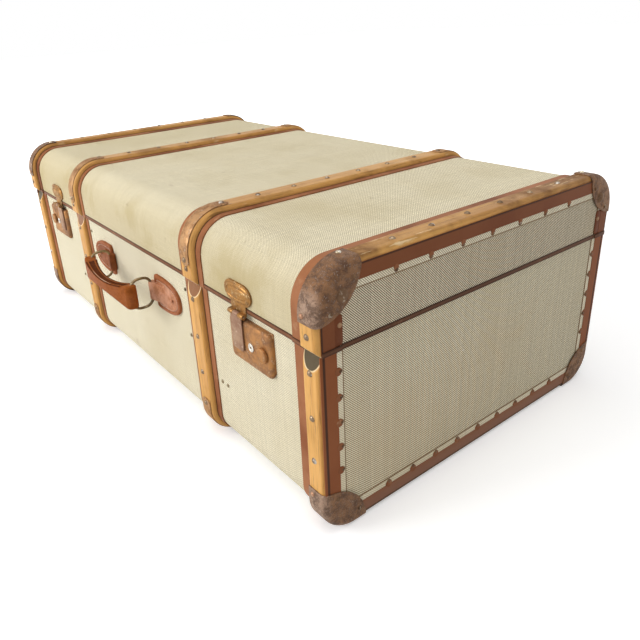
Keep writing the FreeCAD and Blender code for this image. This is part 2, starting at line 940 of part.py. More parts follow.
neck = box(
    "chape_neck",
    s.bar_out,
    bar_y,
    roll_low,
    chape_in - s.bar_out + s.over,
    s.bar_stand,
    s.roll_half * 2,
)
bar_hole = rod(
    "chape_bore",
    "z",
    s.bar_out,
    bar_y,
    roll_low - s.over,
    s.wire / 2 + s.run_clear,
    s.roll_half * 2 + s.over * 2,
)
node(cut("chape_right", fuse("chape_solid", [chape_leaf, roll, neck]), bar_hole))
node(mirrored("chape_left", nodes[-1], "x"))


def wire_ring(name, x):
    """Wire bent to a rounded rectangle, standing straight out from the wall."""
    reach = s.bar_reach - s.bar_stand
    turn = s.ring_turn
    half = s.grip_tall + turn
    radius = s.wire / 2
    parts = []
    for i, (u, v) in enumerate(((ZERO, 1), (reach, 1), (reach, -1), (ZERO, -1))):
        corner = doc.addObject("Part::Torus", "%s_turn_%d" % (name, i))
        bind(corner, "Radius1", turn)
        bind(corner, "Radius2", radius)
        corner.Angle3 = 90
        quarter = (1, 0, 3, 2)[i]
        inner_u = turn if u is ZERO else reach - turn
        turned = FreeCAD.Rotation(FreeCAD.Vector(0, 0, 1), 90 * quarter)
        parts.append(place(corner, inner_u, s.grip_tall * v, ZERO, turned))
    straight = s.grip_tall * 2
    for tag, u in (("in", ZERO), ("out", reach)):
        parts.append(rod(name + "_bar_" + tag, "y", u, -straight / 2, ZERO, radius, straight))
    for tag, v in (("top", half), ("foot", -half)):
        parts.append(rod(name + "_run_" + tag, "x", turn, v, ZERO, radius, reach - turn * 2))
    ring = fuse(name, parts)
    rows_out = (FreeCAD.Vector(0, -1, 0), FreeCAD.Vector(0, 0, 1), FreeCAD.Vector(-1, 0, 0))
    outward = FreeCAD.Rotation(*rows_out)
    return node(place(ring, x, bar_y, handle_level, outward))


wire_ring("ring_left", -s.bar_out)
wire_ring("ring_right", s.bar_out)

# Grip: a bowed plan cut to an hourglass front.
far_y = grip_y - s.grip_end
near_y = grip_y + s.grip_end
out_bow = bow_radius(s.bar_out, s.grip_bow)
in_bow = bow_radius(s.bar_out, s.grip_sag)
plan = [
    (-s.bar_out, far_y, out_bow, True),
    (s.bar_out, far_y, s.grip_end, True),
    (s.bar_out + s.grip_end, grip_y, s.grip_end, True),
    (s.bar_out, near_y, in_bow, False),
    (-s.bar_out, near_y, s.grip_end, True),
    (-s.bar_out - s.grip_end, grip_y, s.grip_end, True),
]
grip_low = handle_level - s.grip_tall
grip_top = handle_level + s.grip_tall
grip_plan = prism("grip_plan", "XY_Plane", plan, s.grip_tall * 2, z=grip_low)
waist_half = s.bar_out - s.grip_neck
waist = bow_radius(waist_half, s.grip_waist)
grip_far = s.bar_out + s.grip_end + s.over
front_view = [
    (-grip_far, grip_low),
    (-waist_half, grip_low, waist, False),
    (waist_half, grip_low),
    (grip_far, grip_low),
    (grip_far, grip_top),
    (waist_half, grip_top, waist, False),
    (-waist_half, grip_top),
    (-grip_far, grip_top),
]
grip_span = s.grip_end * 2 + s.grip_bow + s.over * 2
grip_front = prism("grip_front", "XZ_Plane", front_view, grip_span, y=near_y + s.over)
grip_form = soften("grip_form", common("grip_block", grip_plan, grip_front), s.grip_soft)
bar_bores = []
for hand, x in (("left", -s.bar_out), ("right", s.bar_out)):
    low = grip_low - s.over
    long = s.grip_tall * 2 + s.over * 2
    bar_bores.append(rod("grip_bore_" + hand, "z", x, grip_y, low, s.wire / 2 + s.run_clear, long))
node(cut("grip", grip_form, group("grip_bores", bar_bores)))

# Chape rivets on the leather.
doc.recompute()
spots = []
for sign in (-1, 1):
    for share in CHAPE_RIVET_SHARES:
        x = chape_in.value + share * (chape_out - chape_in).value
        spots.append((nail, sign * x, chape_face.value, handle_level.value, "front"))
rows("chape_rivets", spots)

# Right lock: a plate with a hollow case, its notch open upwards for the staple.
# From left to right it carries the hasp, the keyhole bush and the bolt's button.
hasp_mid = bay_mid - s.hasp_in
hasp_left = hasp_mid - s.hasp_wide / 2
bush_mid = hasp_mid + s.hasp_wide / 2 + s.bush_gap + s.bush_wide / 2
button_mid = bush_mid + (s.bush_wide + s.button_wide) / 2 + s.bolt_travel + s.button_gap
bolt_tail = button_mid + s.button_neck / 2 + s.tail_over
notch_wide = s.staple_wide + s.notch_clear * 2
bolt_tip = hasp_mid + notch_wide / 2 + s.tip_clear
case_right = bolt_tail + s.tail_clear + s.case_wall
lock_left = hasp_left - s.plate_in
lock_right = case_right + s.case_in
lock_top = part_level - s.lock_drop
lock_low = lock_top - s.lock_high
staple_level = lock_low + s.lock_high / 2 - s.staple_drop
# Outward from the wall: flange, staple, bolt and the case's front.
staple_from = s.flange + s.staple_clear
eye_from = staple_from + s.staple_back
bolt_from = eye_from + s.eye_clear
bolt_to = bolt_from + s.bolt_thick
eye_to = bolt_to + s.bolt_clear
case_stand = eye_to + s.case_wall
eye_high = s.bolt_high + s.eye_side * 2
staple_high = eye_high + s.staple_web * 2
corner = s.lock_corner
plate = prism(
    "lock_plate",
    "XZ_Plane",
    [
        (lock_left, lock_low + corner),
        (lock_left + corner, lock_low),
        (lock_right - corner, lock_low),
        (lock_right, lock_low + corner),
        (lock_right, lock_top),
        (lock_left, lock_top),
    ],
    s.flange,
    y=wall_y,
)
case_left = lock_left + s.case_in
case_low = lock_low + s.case_in
case_wide = case_right - case_left
case_high = s.lock_high - s.case_in * 2
case_y = wall_y - case_stand
case = box("lock_case", case_left, case_y, case_low, case_wide, case_stand - s.flange, case_high)
wall_in = s.case_wall
room = box(
    "lock_room",
    case_left + wall_in,
    case_y + wall_in,
    case_low + wall_in,
    case_wide - wall_in * 2,
    case_stand - s.flange - wall_in,
    case_high - wall_in * 2,
)
notch_low = staple_level - staple_high / 2 - s.over
notch = box(
    "lock_notch",
    hasp_mid - notch_wide / 2,
    case_y - s.over,
    notch_low,
    notch_wide,
    case_stand - s.flange + s.over,
    lock_top - notch_low + s.over,
)
slot_half = s.button_neck / 2 + s.neck_clear
slot = box(
    "lock_slot",
    button_mid - s.bolt_travel - slot_half,
    case_y - s.over,
    staple_level - slot_half,
    s.bolt_travel + slot_half * 2,
    s.over + wall_in + wall_in,
    slot_half * 2,
)
hollow_case = cut("lock_shell", case, group("lock_cuts", [room, notch, slot]))
node(fuse("lock_plate_right", [plate, hollow_case]))
node(mirrored("lock_plate_left", nodes[-1], "x"))

# Lock bolt inside the case, with its round button outside.
bolt_bar = box(
    "bolt_bar",
    bolt_tip,
    wall_y - bolt_to,
    staple_level - s.bolt_high / 2,
    bolt_tail - bolt_tip,
    bolt_to - bolt_from,
    s.bolt_high,
)
button_y = case_y - s.hasp_clear
neck_deep = case_stand + s.hasp_clear - bolt_from
bolt_neck = rod("bolt_neck", "y", button_mid, button_y, staple_level, s.button_neck / 2, neck_deep)
button = rod(
    "bolt_button",
    "y",
    button_mid,
    button_y - s.button_rise,
    staple_level,
    s.button_wide / 2,
    s.button_rise,
)
button_face = button_y - s.button_rise
button_dome = soften(
    "bolt_dome",
    button,
    s.button_rise * DOME_SHARE,
    lambda point: abs(point.y - button_face.value) < CLOSE,
)
node(fuse("lock_bolt_right", [bolt_bar, bolt_neck, button_dome]))
node(mirrored("lock_bolt_left", nodes[-1], "x"))

# Keyhole bush on the case.
bush_y = case_y - s.bush_thick
bush = rod("bush", "y", bush_mid, bush_y, staple_level, s.bush_wide / 2, s.bush_thick)
key_hole = rod("key_hole", "y", bush_mid, bush_y - s.over, staple_level, s.key_wide / 2, s.over * 2)
node(cut("key_bush_right", bush, key_hole))
node(mirrored("key_bush_left", nodes[-1], "x"))

# Hasp plate on the lid: an oval with a tongue down to two knuckles.
lid_y = lid.front
oval_level = lid.end + (lid.turn - lid.end) * OVAL_SHARE
oval_half = s.oval_wide / 2 - s.oval_high / 2
oval_turn = s.oval_high / 2
oval = prism(
    "hasp_oval",
    "XZ_Plane",
    [
        (hasp_mid - oval_half, oval_level - oval_turn),
        (hasp_mid + oval_half, oval_level - oval_turn, oval_turn, True),
        (hasp_mid + oval_half + oval_turn, oval_level, oval_turn, True),
        (hasp_mid + oval_half, oval_level + oval_turn),
        (hasp_mid - oval_half, oval_level + oval_turn, oval_turn, True),
        (hasp_mid - oval_half - oval_turn, oval_level, oval_turn, True),
    ],
    s.oval_thick,
    y=lid_y,
)
hasp_axis_z = part_level - s.hasp_drop
hasp_back = wall_y - case_stand - s.hasp_clear
hasp_axis_y = hasp_back - s.hasp_thick
tongue_thick = s.oval_thick - s.bind_thick
tongue = box(
    "hasp_tongue",
    hasp_left,
    lid_y - s.oval_thick,
    hasp_axis_z,
    s.hasp_wide,
    tongue_thick,
    s.tongue_high,
)
third = s.hasp_wide / 3
plate_parts = [oval, tongue]
for tag, left in (("left", hasp_left), ("right", hasp_mid + s.hasp_wide / 2 - third + s.barrel_gap)):
    wide = third - s.barrel_gap
    web = lid_y - s.bind_thick - hasp_axis_y
    plate_parts.append(rod("hasp_barrel_" + tag, "x", left, hasp_axis_y, hasp_axis_z, s.knuckle, wide))
    plate_parts.append(box("hasp_web_" + tag, left, hasp_axis_y, hasp_axis_z, wide, web, s.knuckle))
room_mid = rod(
    "hasp_room",
    "x",
    hasp_left + third - s.barrel_gap,
    hasp_axis_y,
    hasp_axis_z,
    s.knuckle + s.barrel_gap,
    third + s.barrel_gap * 2,
)
pin_hole = rod(
    "hasp_pin_hole",
    "x",
    hasp_left - s.over,
    hasp_axis_y,
    hasp_axis_z,
    s.hasp_pin / 2,
    s.hasp_wide + s.over * 2,
)
plate_cuts = group("hasp_plate_cuts", [room_mid, pin_hole])
node(cut("hasp_plate_right", fuse("hasp_plate_solid", plate_parts), plate_cuts))
node(mirrored("hasp_plate_left", nodes[-1], "x"))
node(rod("hasp_pin_right", "x", hasp_left, hasp_axis_y, hasp_axis_z, s.hasp_pin / 2, s.hasp_wide))
node(mirrored("hasp_pin_left", nodes[-1], "x"))

# Hasp: a strap on the middle knuckle, with a staple on its back for the bolt.
staple_low = staple_level - staple_high / 2
strap_low = staple_low - s.strap_foot
strap_high = hasp_axis_z - s.knuckle - s.barrel_gap * 2 - strap_low
strap_y = hasp_axis_y
strap = box("hasp_strap", hasp_left, strap_y, strap_low, s.hasp_wide, s.hasp_thick, strap_high)
strap_tab = box(
    "hasp_tab",
    hasp_left + third,
    strap_y,
    strap_low,
    third,
    s.hasp_thick,
    hasp_axis_z - strap_low,
)
hasp_barrel = rod("hasp_barrel", "x", hasp_left + third, hasp_axis_y, hasp_axis_z, s.knuckle, third)
staple_deep = case_stand + s.hasp_clear - staple_from
staple = box(
    "hasp_staple",
    hasp_mid - s.staple_wide / 2,
    hasp_back,
    staple_low,
    s.staple_wide,
    staple_deep,
    staple_high,
)
eye = box(
    "hasp_eye",
    hasp_mid - s.staple_wide / 2 - s.over,
    wall_y - eye_to,
    staple_level - eye_high / 2,
    s.staple_wide + s.over * 2,
    eye_to - eye_from,
    eye_high,
)
pin_run = rod(
    "hasp_bore",
    "x",
    hasp_left - s.over,
    hasp_axis_y,
    hasp_axis_z,
    s.hasp_pin / 2 + s.run_clear,
    s.hasp_wide + s.over * 2,
)
hasp_solid = fuse("hasp_solid", [strap, strap_tab, hasp_barrel, staple])
node(cut("hasp_right", hasp_solid, group("hasp_cuts", [eye, pin_run])))
node(mirrored("hasp_left", nodes[-1], "x"))

doc.recompute()

# Nothing is written unless every object is sound.
failed = [obj.Name for obj in doc.Objects if {"Invalid", "Error"} & set(obj.State)]
if failed:
    raise RuntimeError("failed objects: " + ", ".join(failed))
for obj in nodes:
    if obj.Shape.isNull() or not obj.Shape.isValid() or not obj.Shape.Solids:
        raise RuntimeError("unsound piece: " + obj.Label)
os.makedirs("parts", exist_ok=True)
for obj in nodes:
    obj.Shape.exportStep("parts/" + obj.Label + ".step")
    print(obj.Label, len(obj.Shape.Solids), round(obj.Shape.Volume / 1000, 2), obj.Shape.BoundBox)
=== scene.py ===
"""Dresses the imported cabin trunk: canvas, fibre, slats, leather handle and pressed metal fittings."""

import logging
import math
from collections.abc import Callable, Iterable, Iterator
from contextlib import contextmanager
from dataclasses import dataclass
from enum import Enum
from functools import cached_property

import bmesh
import bpy
from mathutils import Matrix, Vector
from mathutils.bvhtree import BVHTree


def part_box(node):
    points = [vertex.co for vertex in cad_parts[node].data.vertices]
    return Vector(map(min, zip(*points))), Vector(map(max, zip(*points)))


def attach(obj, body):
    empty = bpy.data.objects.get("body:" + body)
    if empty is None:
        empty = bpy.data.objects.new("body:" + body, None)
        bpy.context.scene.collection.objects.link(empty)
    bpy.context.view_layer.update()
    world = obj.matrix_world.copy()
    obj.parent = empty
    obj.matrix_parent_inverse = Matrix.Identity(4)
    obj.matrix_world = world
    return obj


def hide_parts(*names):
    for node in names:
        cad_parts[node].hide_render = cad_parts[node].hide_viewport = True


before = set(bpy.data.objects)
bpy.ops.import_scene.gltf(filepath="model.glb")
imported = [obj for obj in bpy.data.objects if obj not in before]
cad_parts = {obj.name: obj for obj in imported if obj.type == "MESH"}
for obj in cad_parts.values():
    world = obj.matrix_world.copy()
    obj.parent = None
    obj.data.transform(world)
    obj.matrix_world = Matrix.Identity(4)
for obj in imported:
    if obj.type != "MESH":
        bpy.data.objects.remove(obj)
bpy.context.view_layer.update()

log = logging.getLogger("trunk")
MM = 0.001
HAIR = 0.1 * MM  # slack for picking by place, and for pieces that overlap where they join
WELD = 0.004 * MM  # corners of CAD triangles that are closer than this are one corner
FLAT = 0.6  # degrees between CAD triangles that belong to one flat face
CREASED = 38.0  # smallest angle in degrees of an edge that stays sharp
ROUND = 60.0  # the same for small round pieces
FACING = 0.95  # share of a normal along an axis, from which a face counts as facing that way
ALONG = 0.8  # share of an edge along an axis, from which it counts as running that way
MIRROR_X = Matrix.Scale(-1, 4, (1, 0, 0))
PLAIN_GLEAM = 0.5  # the Principled shader's own specular level

Colour = tuple[float, float, float]
Piece = bpy.types.Object
Node = bpy.types.Node
Socket = bpy.types.NodeSocket
Test = Callable[[Vector, Vector], bool]
Rule = Callable[[Vector], Vector]
Pair = tuple[float, float]
Steps = tuple[Pair, ...]


class Pick(Enum):
    """What a selection in edit mode takes."""

    EDGE = "EDGE"
    FACE = "FACE"


class Half(Enum):
    """The two halves of the trunk, named as their CAD bodies."""

    BASE = "base"
    LID = "lid"

    def node(self, word: str) -> str:
        """Name of this half's CAD node of some kind."""
        return self.value + "_" + word

    def flat(self, low: Vector, high: Vector) -> float:
        """Height of the flat side in a box, which is the lid's top or the base's bottom."""
        return high.z if self is Half.LID else low.z


class Hand(Enum):
    """Left and right of the front, as the names of their nodes end."""

    LEFT = "left"
    RIGHT = "right"


class Effect(Enum):
    """The surface effects that several finishes share: node group, vector and number inputs, outputs."""

    WRAP = ("wrap_path", "Point", "Middle Level Turn", "Along Across")
    WEAVE = ("twill_weave", "", "Across Along Pitch", "Height Warp Slub")
    BLOTCH = ("blotches", "Point", "Scale Low High", "Mask")
    GRAIN = ("wood_grain", "", "Across Along Seed", "Streak Pore Height")
    PITS = ("pitted_metal", "Point", "Size", "Height Rust Bright")
    HIDE = ("hide_grain", "Point", "Size", "Height Crease Rub")


# Modelling by hand.


def choose(piece: Piece) -> None:
    """Makes a piece the only selected and active object.

    Args:
        piece: The object that the next operators act on.
    """
    bpy.ops.object.select_all(action="DESELECT")
    bpy.context.view_layer.objects.active = piece
    piece.select_set(True)


@contextmanager
def editing(piece: Piece) -> Iterator[None]:
    """Opens a piece in edit mode with nothing selected, and closes it again.

    Args:
        piece: The mesh object to shape.

    Returns:
        The context in which the piece is open.
    """
    choose(piece)
    bpy.ops.object.mode_set(mode="EDIT")
    bpy.ops.mesh.select_all(action="DESELECT")
    yield
    bpy.ops.object.mode_set(mode="OBJECT")


def take(piece: Piece, kind: Pick, wanted: Test) -> int:
    """Selects the elements of a piece in edit mode by their place and direction.

    Args:
        piece: The object in edit mode.
        kind: Whether edges or faces are tested.
        wanted: Test of an element's middle, and of a face's normal or an edge's whole span.

    Returns:
        How many elements were selected.
    """
    bpy.ops.mesh.select_mode(type=kind.value)
    bpy.ops.mesh.select_all(action="DESELECT")
    shape = bmesh.from_edit_mesh(piece.data)
    shape.normal_update()
    count = 0
    for item in shape.edges if kind is Pick.EDGE else shape.faces:
        if kind is Pick.EDGE:
            first, last = (vert.co for vert in item.verts)
            place, way = (first + last) / 2, last - first
        else:
            place, way = item.calc_center_median(), item.normal
        if wanted(place, way):
            item.select_set(True)
            count += 1
    shape.select_flush_mode()
    bmesh.update_edit_mesh(piece.data)
    return count


def take_all() -> None:
    """Selects the whole mesh in edit mode."""
    bpy.ops.mesh.select_all(action="SELECT")


def shift(y: float) -> None:
    """Moves what is selected in edit mode along Y."""
    bpy.ops.transform.translate(value=(0, y, 0))


def raised(out: float) -> None:
    """Draws what is selected in edit mode out towards the front."""
    bpy.ops.mesh.extrude_region_move(TRANSFORM_OT_translate={"value": (0, -out, 0)})


def bevelled(width: float, segments: int) -> None:
    """Bevels the edges that are selected in edit mode."""
    bpy.ops.mesh.bevel(offset=width, segments=segments, affect="EDGES", clamp_overlap=True)


def faced_out() -> None:
    """Turns all faces outwards in edit mode."""
    take_all()
    bpy.ops.mesh.normals_make_consistent(inside=False)


def runs(way: Vector, axis: int) -> bool:
    """Tells whether an edge runs mostly along an axis."""
    return abs(way[axis]) > ALONG * way.length


def squared(value: float, power: float) -> float:
    """Carries a part of a circle's radius to a circle that is drawn out to a square."""
    return math.copysign(abs(value) ** (2 / power), value)


def mould(piece: Piece, place: Rule) -> None:
    """Pushes every vertex of a piece to the place that a rule gives it.

    Args:
        piece: The object to shape.
        place: Rule from a vertex's old place to its new one.
    """
    for vert in piece.data.vertices:
        vert.co = place(vert.co.copy())
    piece.data.update()


def modify(piece: Piece, kind: str, **settings: object) -> None:
    """Adds a modifier to a piece and applies it.

    Args:
        piece: The object to change.
        kind: Blender's name of the modifier.
        **settings: Values of the modifier.
    """
    choose(piece)
    made = piece.modifiers.new(kind.lower(), kind)
    for key, value in settings.items():
        setattr(made, key, value)
    bpy.ops.object.modifier_apply(modifier=made.name)


def rounded(piece: Piece, width: float, segments: int = 2, angle: float = 35.0) -> None:
    """Rounds a piece's sharp edges.

    Args:
        piece: The object to soften.
        width: Width of the rounding in metres.
        segments: Number of faces across it.
        angle: Smallest angle of an edge that counts as sharp, in degrees.
    """
    modify(
        piece, "BEVEL", width=width, segments=segments, limit_method="ANGLE", angle_limit=math.radians(angle)
    )


def smooth(piece: Piece, angle: float = CREASED) -> None:
    """Shades a piece smoothly between its sharp edges."""
    choose(piece)
    bpy.ops.object.shade_smooth_by_angle(angle=math.radians(angle))


def settled(name: str) -> Piece:
    """Names the active object and puts its place, turn and size into its mesh.

    Args:
        name: Name of the new piece.

    Returns:
        The piece, at the origin.
    """
    piece = bpy.context.object
    bpy.ops.object.transform_apply(location=True, rotation=True, scale=True)
    piece.name = piece.data.name = name
    return piece


def slab(name: str, low: Vector, high: Vector) -> Piece:
    """Adds a block between two corners, as a start for a piece.

    Args:
        name: Name of the new piece.
        low: Lowest corner in metres.
        high: Highest corner in metres.

    Returns:
        The block.
    """
    bpy.ops.object.select_all(action="DESELECT")
    bpy.ops.mesh.primitive_cube_add(size=1.0, location=(low + high) / 2, scale=high - low)
    return settled(name)


def disc(name: str, radius: float, around: int) -> Piece:
    """Adds a filled disc that faces -Y at the origin, as a start for a piece.

    Args:
        name: Name of the new piece.
        radius: Its radius in metres.
        around: Number of vertices on its rim.

    Returns:
        The disc.
    """
    bpy.ops.object.select_all(action="DESELECT")
    bpy.ops.mesh.primitive_circle_add(
        vertices=around, radius=radius, fill_type="NGON", rotation=(math.pi / 2, 0, 0)
    )
    return settled(name)


def terraced(middle: Vector, half_x: float, half_z: float, steps: Steps) -> None:
    """Raises the selected face towards the front in rings, each drawn in from the last.

    Args:
        middle: Middle that the rings are drawn in to.
        half_x: Half of the face's width.
        half_z: Half of its height.
        steps: For each ring, how far it is drawn in and how far it comes forward, in millimetres.
    """
    for inward, out in steps:
        raised(out * MM)
        drawn = inward * MM
        factors = ((half_x - drawn) / half_x, 1, (half_z - drawn) / half_z)
        bpy.ops.transform.resize(value=factors, center_override=middle)
        half_x, half_z = half_x - drawn, half_z - drawn


def cad_copy(node: str, name: str) -> Piece:
    """Copies a CAD node's mesh, merged and with its flat faces in one piece.

    Args:
        node: Name of the CAD node.
        name: Name of the new piece.

    Returns:
        The copy, where the node is.
    """
    piece = bpy.data.objects.new(name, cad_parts[node].data.copy())
    bpy.context.scene.collection.objects.link(piece)
    piece.data.materials.clear()
    choose(piece)
    bpy.ops.mesh.customdata_custom_splitnormals_clear()
    with editing(piece):
        take_all()
        bpy.ops.mesh.remove_doubles(threshold=WELD)
        bpy.ops.mesh.dissolve_limited(angle_limit=math.radians(FLAT))
    piece.data.name = name
    return piece


def joined(piece: Piece, *others: Piece) -> None:
    """Joins other pieces into a piece.

    Args:
        piece: The piece that is kept.
        *others: The pieces that become part of it.
    """
    choose(piece)
    for other in others:
        other.select_set(True)
    bpy.ops.object.join()


def twin(piece: Piece, place: Matrix, name: str) -> Piece:
    """Copies a piece with its mesh, and keeps its faces outwards where the copy is mirrored.

    Args:
        piece: The piece to copy.
        place: Where the copy goes.
        name: Name of the copy.

    Returns:
        The copy.
    """
    copy = piece.copy()
    copy.data = piece.data.copy()
    copy.data.transform(place)
    if place.determinant() < 0:
        copy.data.flip_normals()
    copy.name = copy.data.name = name
    bpy.context.scene.collection.objects.link(copy)
    return copy


def copied(pattern: Piece, places: Iterable[Matrix], name: str, angle: float = ROUND) -> Piece:
    """Copies a pattern to every place and joins the copies to one smooth piece.

    Args:
        pattern: The modelled shape, removed afterwards.
        places: Where each copy goes.
        name: Name of the joined piece.
        angle: Smallest angle of an edge that stays sharp, in degrees.

    Returns:
        The joined piece.
    """
    first, *others = [twin(pattern, place, name) for place in places]
    joined(first, *others)
    bpy.data.objects.remove(pattern)
    first.name = first.data.name = name
    smooth(first, angle)
    return first


def mirrored(piece: Piece, name: str) -> Piece:
    """Makes the other hand's copy of a piece, across X = 0."""
    return twin(piece, MIRROR_X, name)


def four_corners(ends: float) -> tuple[Matrix, ...]:
    """Turns from the right front corner to all four, where Y of the front and the back add up to ends."""
    back = Matrix.Translation((0, ends, 0)) @ Matrix.Scale(-1, 4, (0, 1, 0))
    return Matrix(), back, MIRROR_X, MIRROR_X @ back


def solid_boxes(node: str) -> list[tuple[Vector, Vector]]:
    """Finds the box of each separate solid in a CAD node.

    Args:
        node: Name of the CAD node.

    Returns:
        Lowest and highest corner of each solid.
    """
    shape = bmesh.new()
    shape.from_mesh(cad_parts[node].data)
    bmesh.ops.remove_doubles(shape, verts=shape.verts, dist=WELD)
    left = set(shape.verts)
    boxes = []
    while left:
        todo = [left.pop()]
        group = []
        while todo:
            vert = todo.pop()
            group.append(vert.co.copy())
            for edge in vert.link_edges:
                other = edge.other_vert(vert)
                if other in left:
                    left.remove(other)
                    todo.append(other)
        low = Vector([min(point[i] for point in group) for i in range(3)])
        high = Vector([max(point[i] for point in group) for i in range(3)])
        boxes.append((low, high))
    shape.free()
    return sorted(boxes, key=lambda box: tuple(round(value, 4) for value in box[0]))


# Shader wiring.


@dataclass(frozen=True)
class Blot:
    """Scale of blotches in cells per metre, and the values of the noise where they begin and are full."""

    scale: float
    low: float
    high: float


class Wiring:
    """Adds and joins the nodes of one shader tree."""

    def __init__(self, tree: bpy.types.NodeTree) -> None:
        """Keeps the tree that the nodes go into."""
        self.tree = tree

    def feed(self, socket: Socket, value: object) -> None:
        """Links a socket to another one, or sets its value.

        Args:
            socket: The input to fill.
            value: A socket, a number, a vector or a colour.
        """
        if isinstance(value, bpy.types.NodeSocket):
            self.tree.links.new(value, socket)
        elif socket.type == "RGBA" and len(value) == 3:
            socket.default_value = (*value, 1.0)
        else:
            socket.default_value = value

    def add(self, kind: str, inputs: dict | None = None, **settings: object) -> Node:
        """Adds a node.

        Args:
            kind: Blender's name of the node, without ShaderNode.
            inputs: Value or source of each input, by its name or number.
            **settings: Other values of the node.

        Returns:
            The node.
        """
        node = self.tree.nodes.new("ShaderNode" + kind)
        for key, value in settings.items():
            setattr(node, key, value)
        for key, value in (inputs or {}).items():
            self.feed(node.inputs[key], value)
        return node

    def math(self, operation: str, *values: object) -> Socket:
        """Adds a Math node and gives its output."""
        return self.add("Math", dict(enumerate(values)), operation=operation).outputs[0]

    def fade(self, value: object, low: object, high: object) -> Socket:
        """Turns a value into a soft mask that is 0 at low and 1 at high."""
        inputs = {"Value": value, "From Min": low, "From Max": high}
        return self.add("MapRange", inputs, interpolation_type="SMOOTHSTEP").outputs["Result"]

    def span(self, value: object, low: object, high: object) -> Socket:
        """Spreads a mask from 0 and 1 to two other values."""
        return self.add("MapRange", {"Value": value, "To Min": low, "To Max": high}).outputs["Result"]

    def mix(self, mask: object, first: object, second: object, blend: str = "MIX") -> Socket:
        """Mixes two colours.

        Args:
            mask: How much of the second colour shows.
            first: The colour where the mask is 0.
            second: The colour where the mask is 1.
            blend: How they mix.

        Returns:
            The mixed colour.
        """
        node = self.add("Mix", data_type="RGBA", blend_type=blend)
        for index, value in ((0, mask), (6, first), (7, second)):
            self.feed(node.inputs[index], value)
        return node.outputs[2]

    def noise(self, point: object, scale: object, detail: float = 3.0, rough: float = 0.55) -> Socket:
        """Adds a noise from about 0 to 1, with a scale in cells per metre and a number of finer layers."""
        inputs = {"Vector": point, "Scale": scale, "Detail": detail, "Roughness": rough}
        return self.add("TexNoise", inputs).outputs["Fac"]

    def tint(self, under: object, over: Colour, mask: Socket, share: object) -> Socket:
        """Lays a share of a colour over another one, where a mask shows it."""
        return self.mix(self.math("MULTIPLY", mask, share), under, over)

    def off(self, value: Socket, place: float) -> Socket:
        """Distance of a value from a place."""
        return self.math("ABSOLUTE", self.math("SUBTRACT", value, place))

    def seen(self) -> Socket:
        """Finds what looks at a surface: the camera, or a ray off gloss or through glass.

        Returns:
            A mask that is 1 for these rays.
        """
        rays = self.add("LightPath").outputs
        looks = self.math("MAXIMUM", rays["Is Camera Ray"], rays["Is Glossy Ray"])
        return self.math("MAXIMUM", looks, rays["Is Transmission Ray"])

    def vector(self, x: object, y: object, z: object) -> Socket:
        """Joins three values to a vector."""
        return self.add("CombineXYZ", {0: x, 1: y, 2: z}).outputs[0]

    def drawn_out(self, across: Socket, along: Socket, fine: float, long: float, seed: object) -> Socket:
        """Joins a place on a sheet to a vector, with a scale of its own each way."""
        return self.vector(self.math("MULTIPLY", across, fine), self.math("MULTIPLY", along, long), seed)

    def parts(self, point: Socket) -> tuple[Socket, Socket, Socket]:
        """Splits a vector into its three values."""
        return tuple(self.add("SeparateXYZ", {0: point}).outputs)

    def bump(self, height: Socket, deep: float, strength: float = 1.0) -> Socket:
        """Turns a height from 0 to 1 into a normal, where 1 stands for so many metres."""
        return self.add("Bump", {"Height": height, "Distance": deep, "Strength": strength}).outputs[0]

    def effect(self, which: Effect, **inputs: object) -> dict[str, Socket]:
        """Places a shared effect with its own values.

        Args:
            which: The effect.
            **inputs: Its inputs, in lower case.

        Returns:
            Its outputs by their names, in lower case.
        """
        known = bpy.data.node_groups.get(which.value[0])
        node = self.add("Group", node_tree=known or SharedEffect(which).tree)
        for key, value in inputs.items():
            self.feed(node.inputs[key.capitalize()], value)
        return {output.name.lower(): output for output in node.outputs}


class Surface(Wiring):
    """The wiring of one material, with its Principled shader and the object's coordinates."""

    def __init__(self, made: bpy.types.Material) -> None:
        """Starts from a new material.

        Args:
            made: The material, with its nodes in use.
        """
        super().__init__(made.node_tree)
        self.shader = made.node_tree.nodes["Principled BSDF"]
        self.point = self.add("TexCoord").outputs["Object"]

    @cached_property
    def places(self) -> tuple[Socket, Socket, Socket]:
        """Object X, Y and Z."""
        return self.parts(self.point)

    def blotch(self, kind: Blot) -> Socket:
        """Mask of soft uneven patches."""
        inputs = {"scale": kind.scale, "low": kind.low, "high": kind.high}
        return self.effect(Effect.BLOTCH, point=self.point, **inputs)["mask"]

    def inside(self, node: str, half: Half) -> Socket:
        """Measures how far a point on the trunk's end is from the front, the back and the flat side.

        Args:
            node: The CAD node with these sides.
            half: The half of the trunk.

        Returns:
            Distance from the nearest of the three sides.
        """
        low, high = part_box(node)
        _, y, z = self.places
        nearest = self.off(z, half.flat(low, high))
        for edge in (low.y, high.y):
            nearest = self.math("MINIMUM", nearest, self.off(y, edge))
        return nearest

    def set(self, **inputs: object) -> None:
        """Fills some of the shader's inputs, named with an underscore for each space."""
        for key, value in inputs.items():
            self.feed(self.shader.inputs[key.replace("_", " ")], value)

    def lay(self, colour: Socket, rough: Socket, normal: Socket, gleam: float = PLAIN_GLEAM) -> None:
        """Joins the colour, roughness and relief to the shader, and sets how strongly it reflects."""
        self.set(Base_Color=colour, Roughness=rough, Normal=normal, Specular_IOR_Level=gleam)


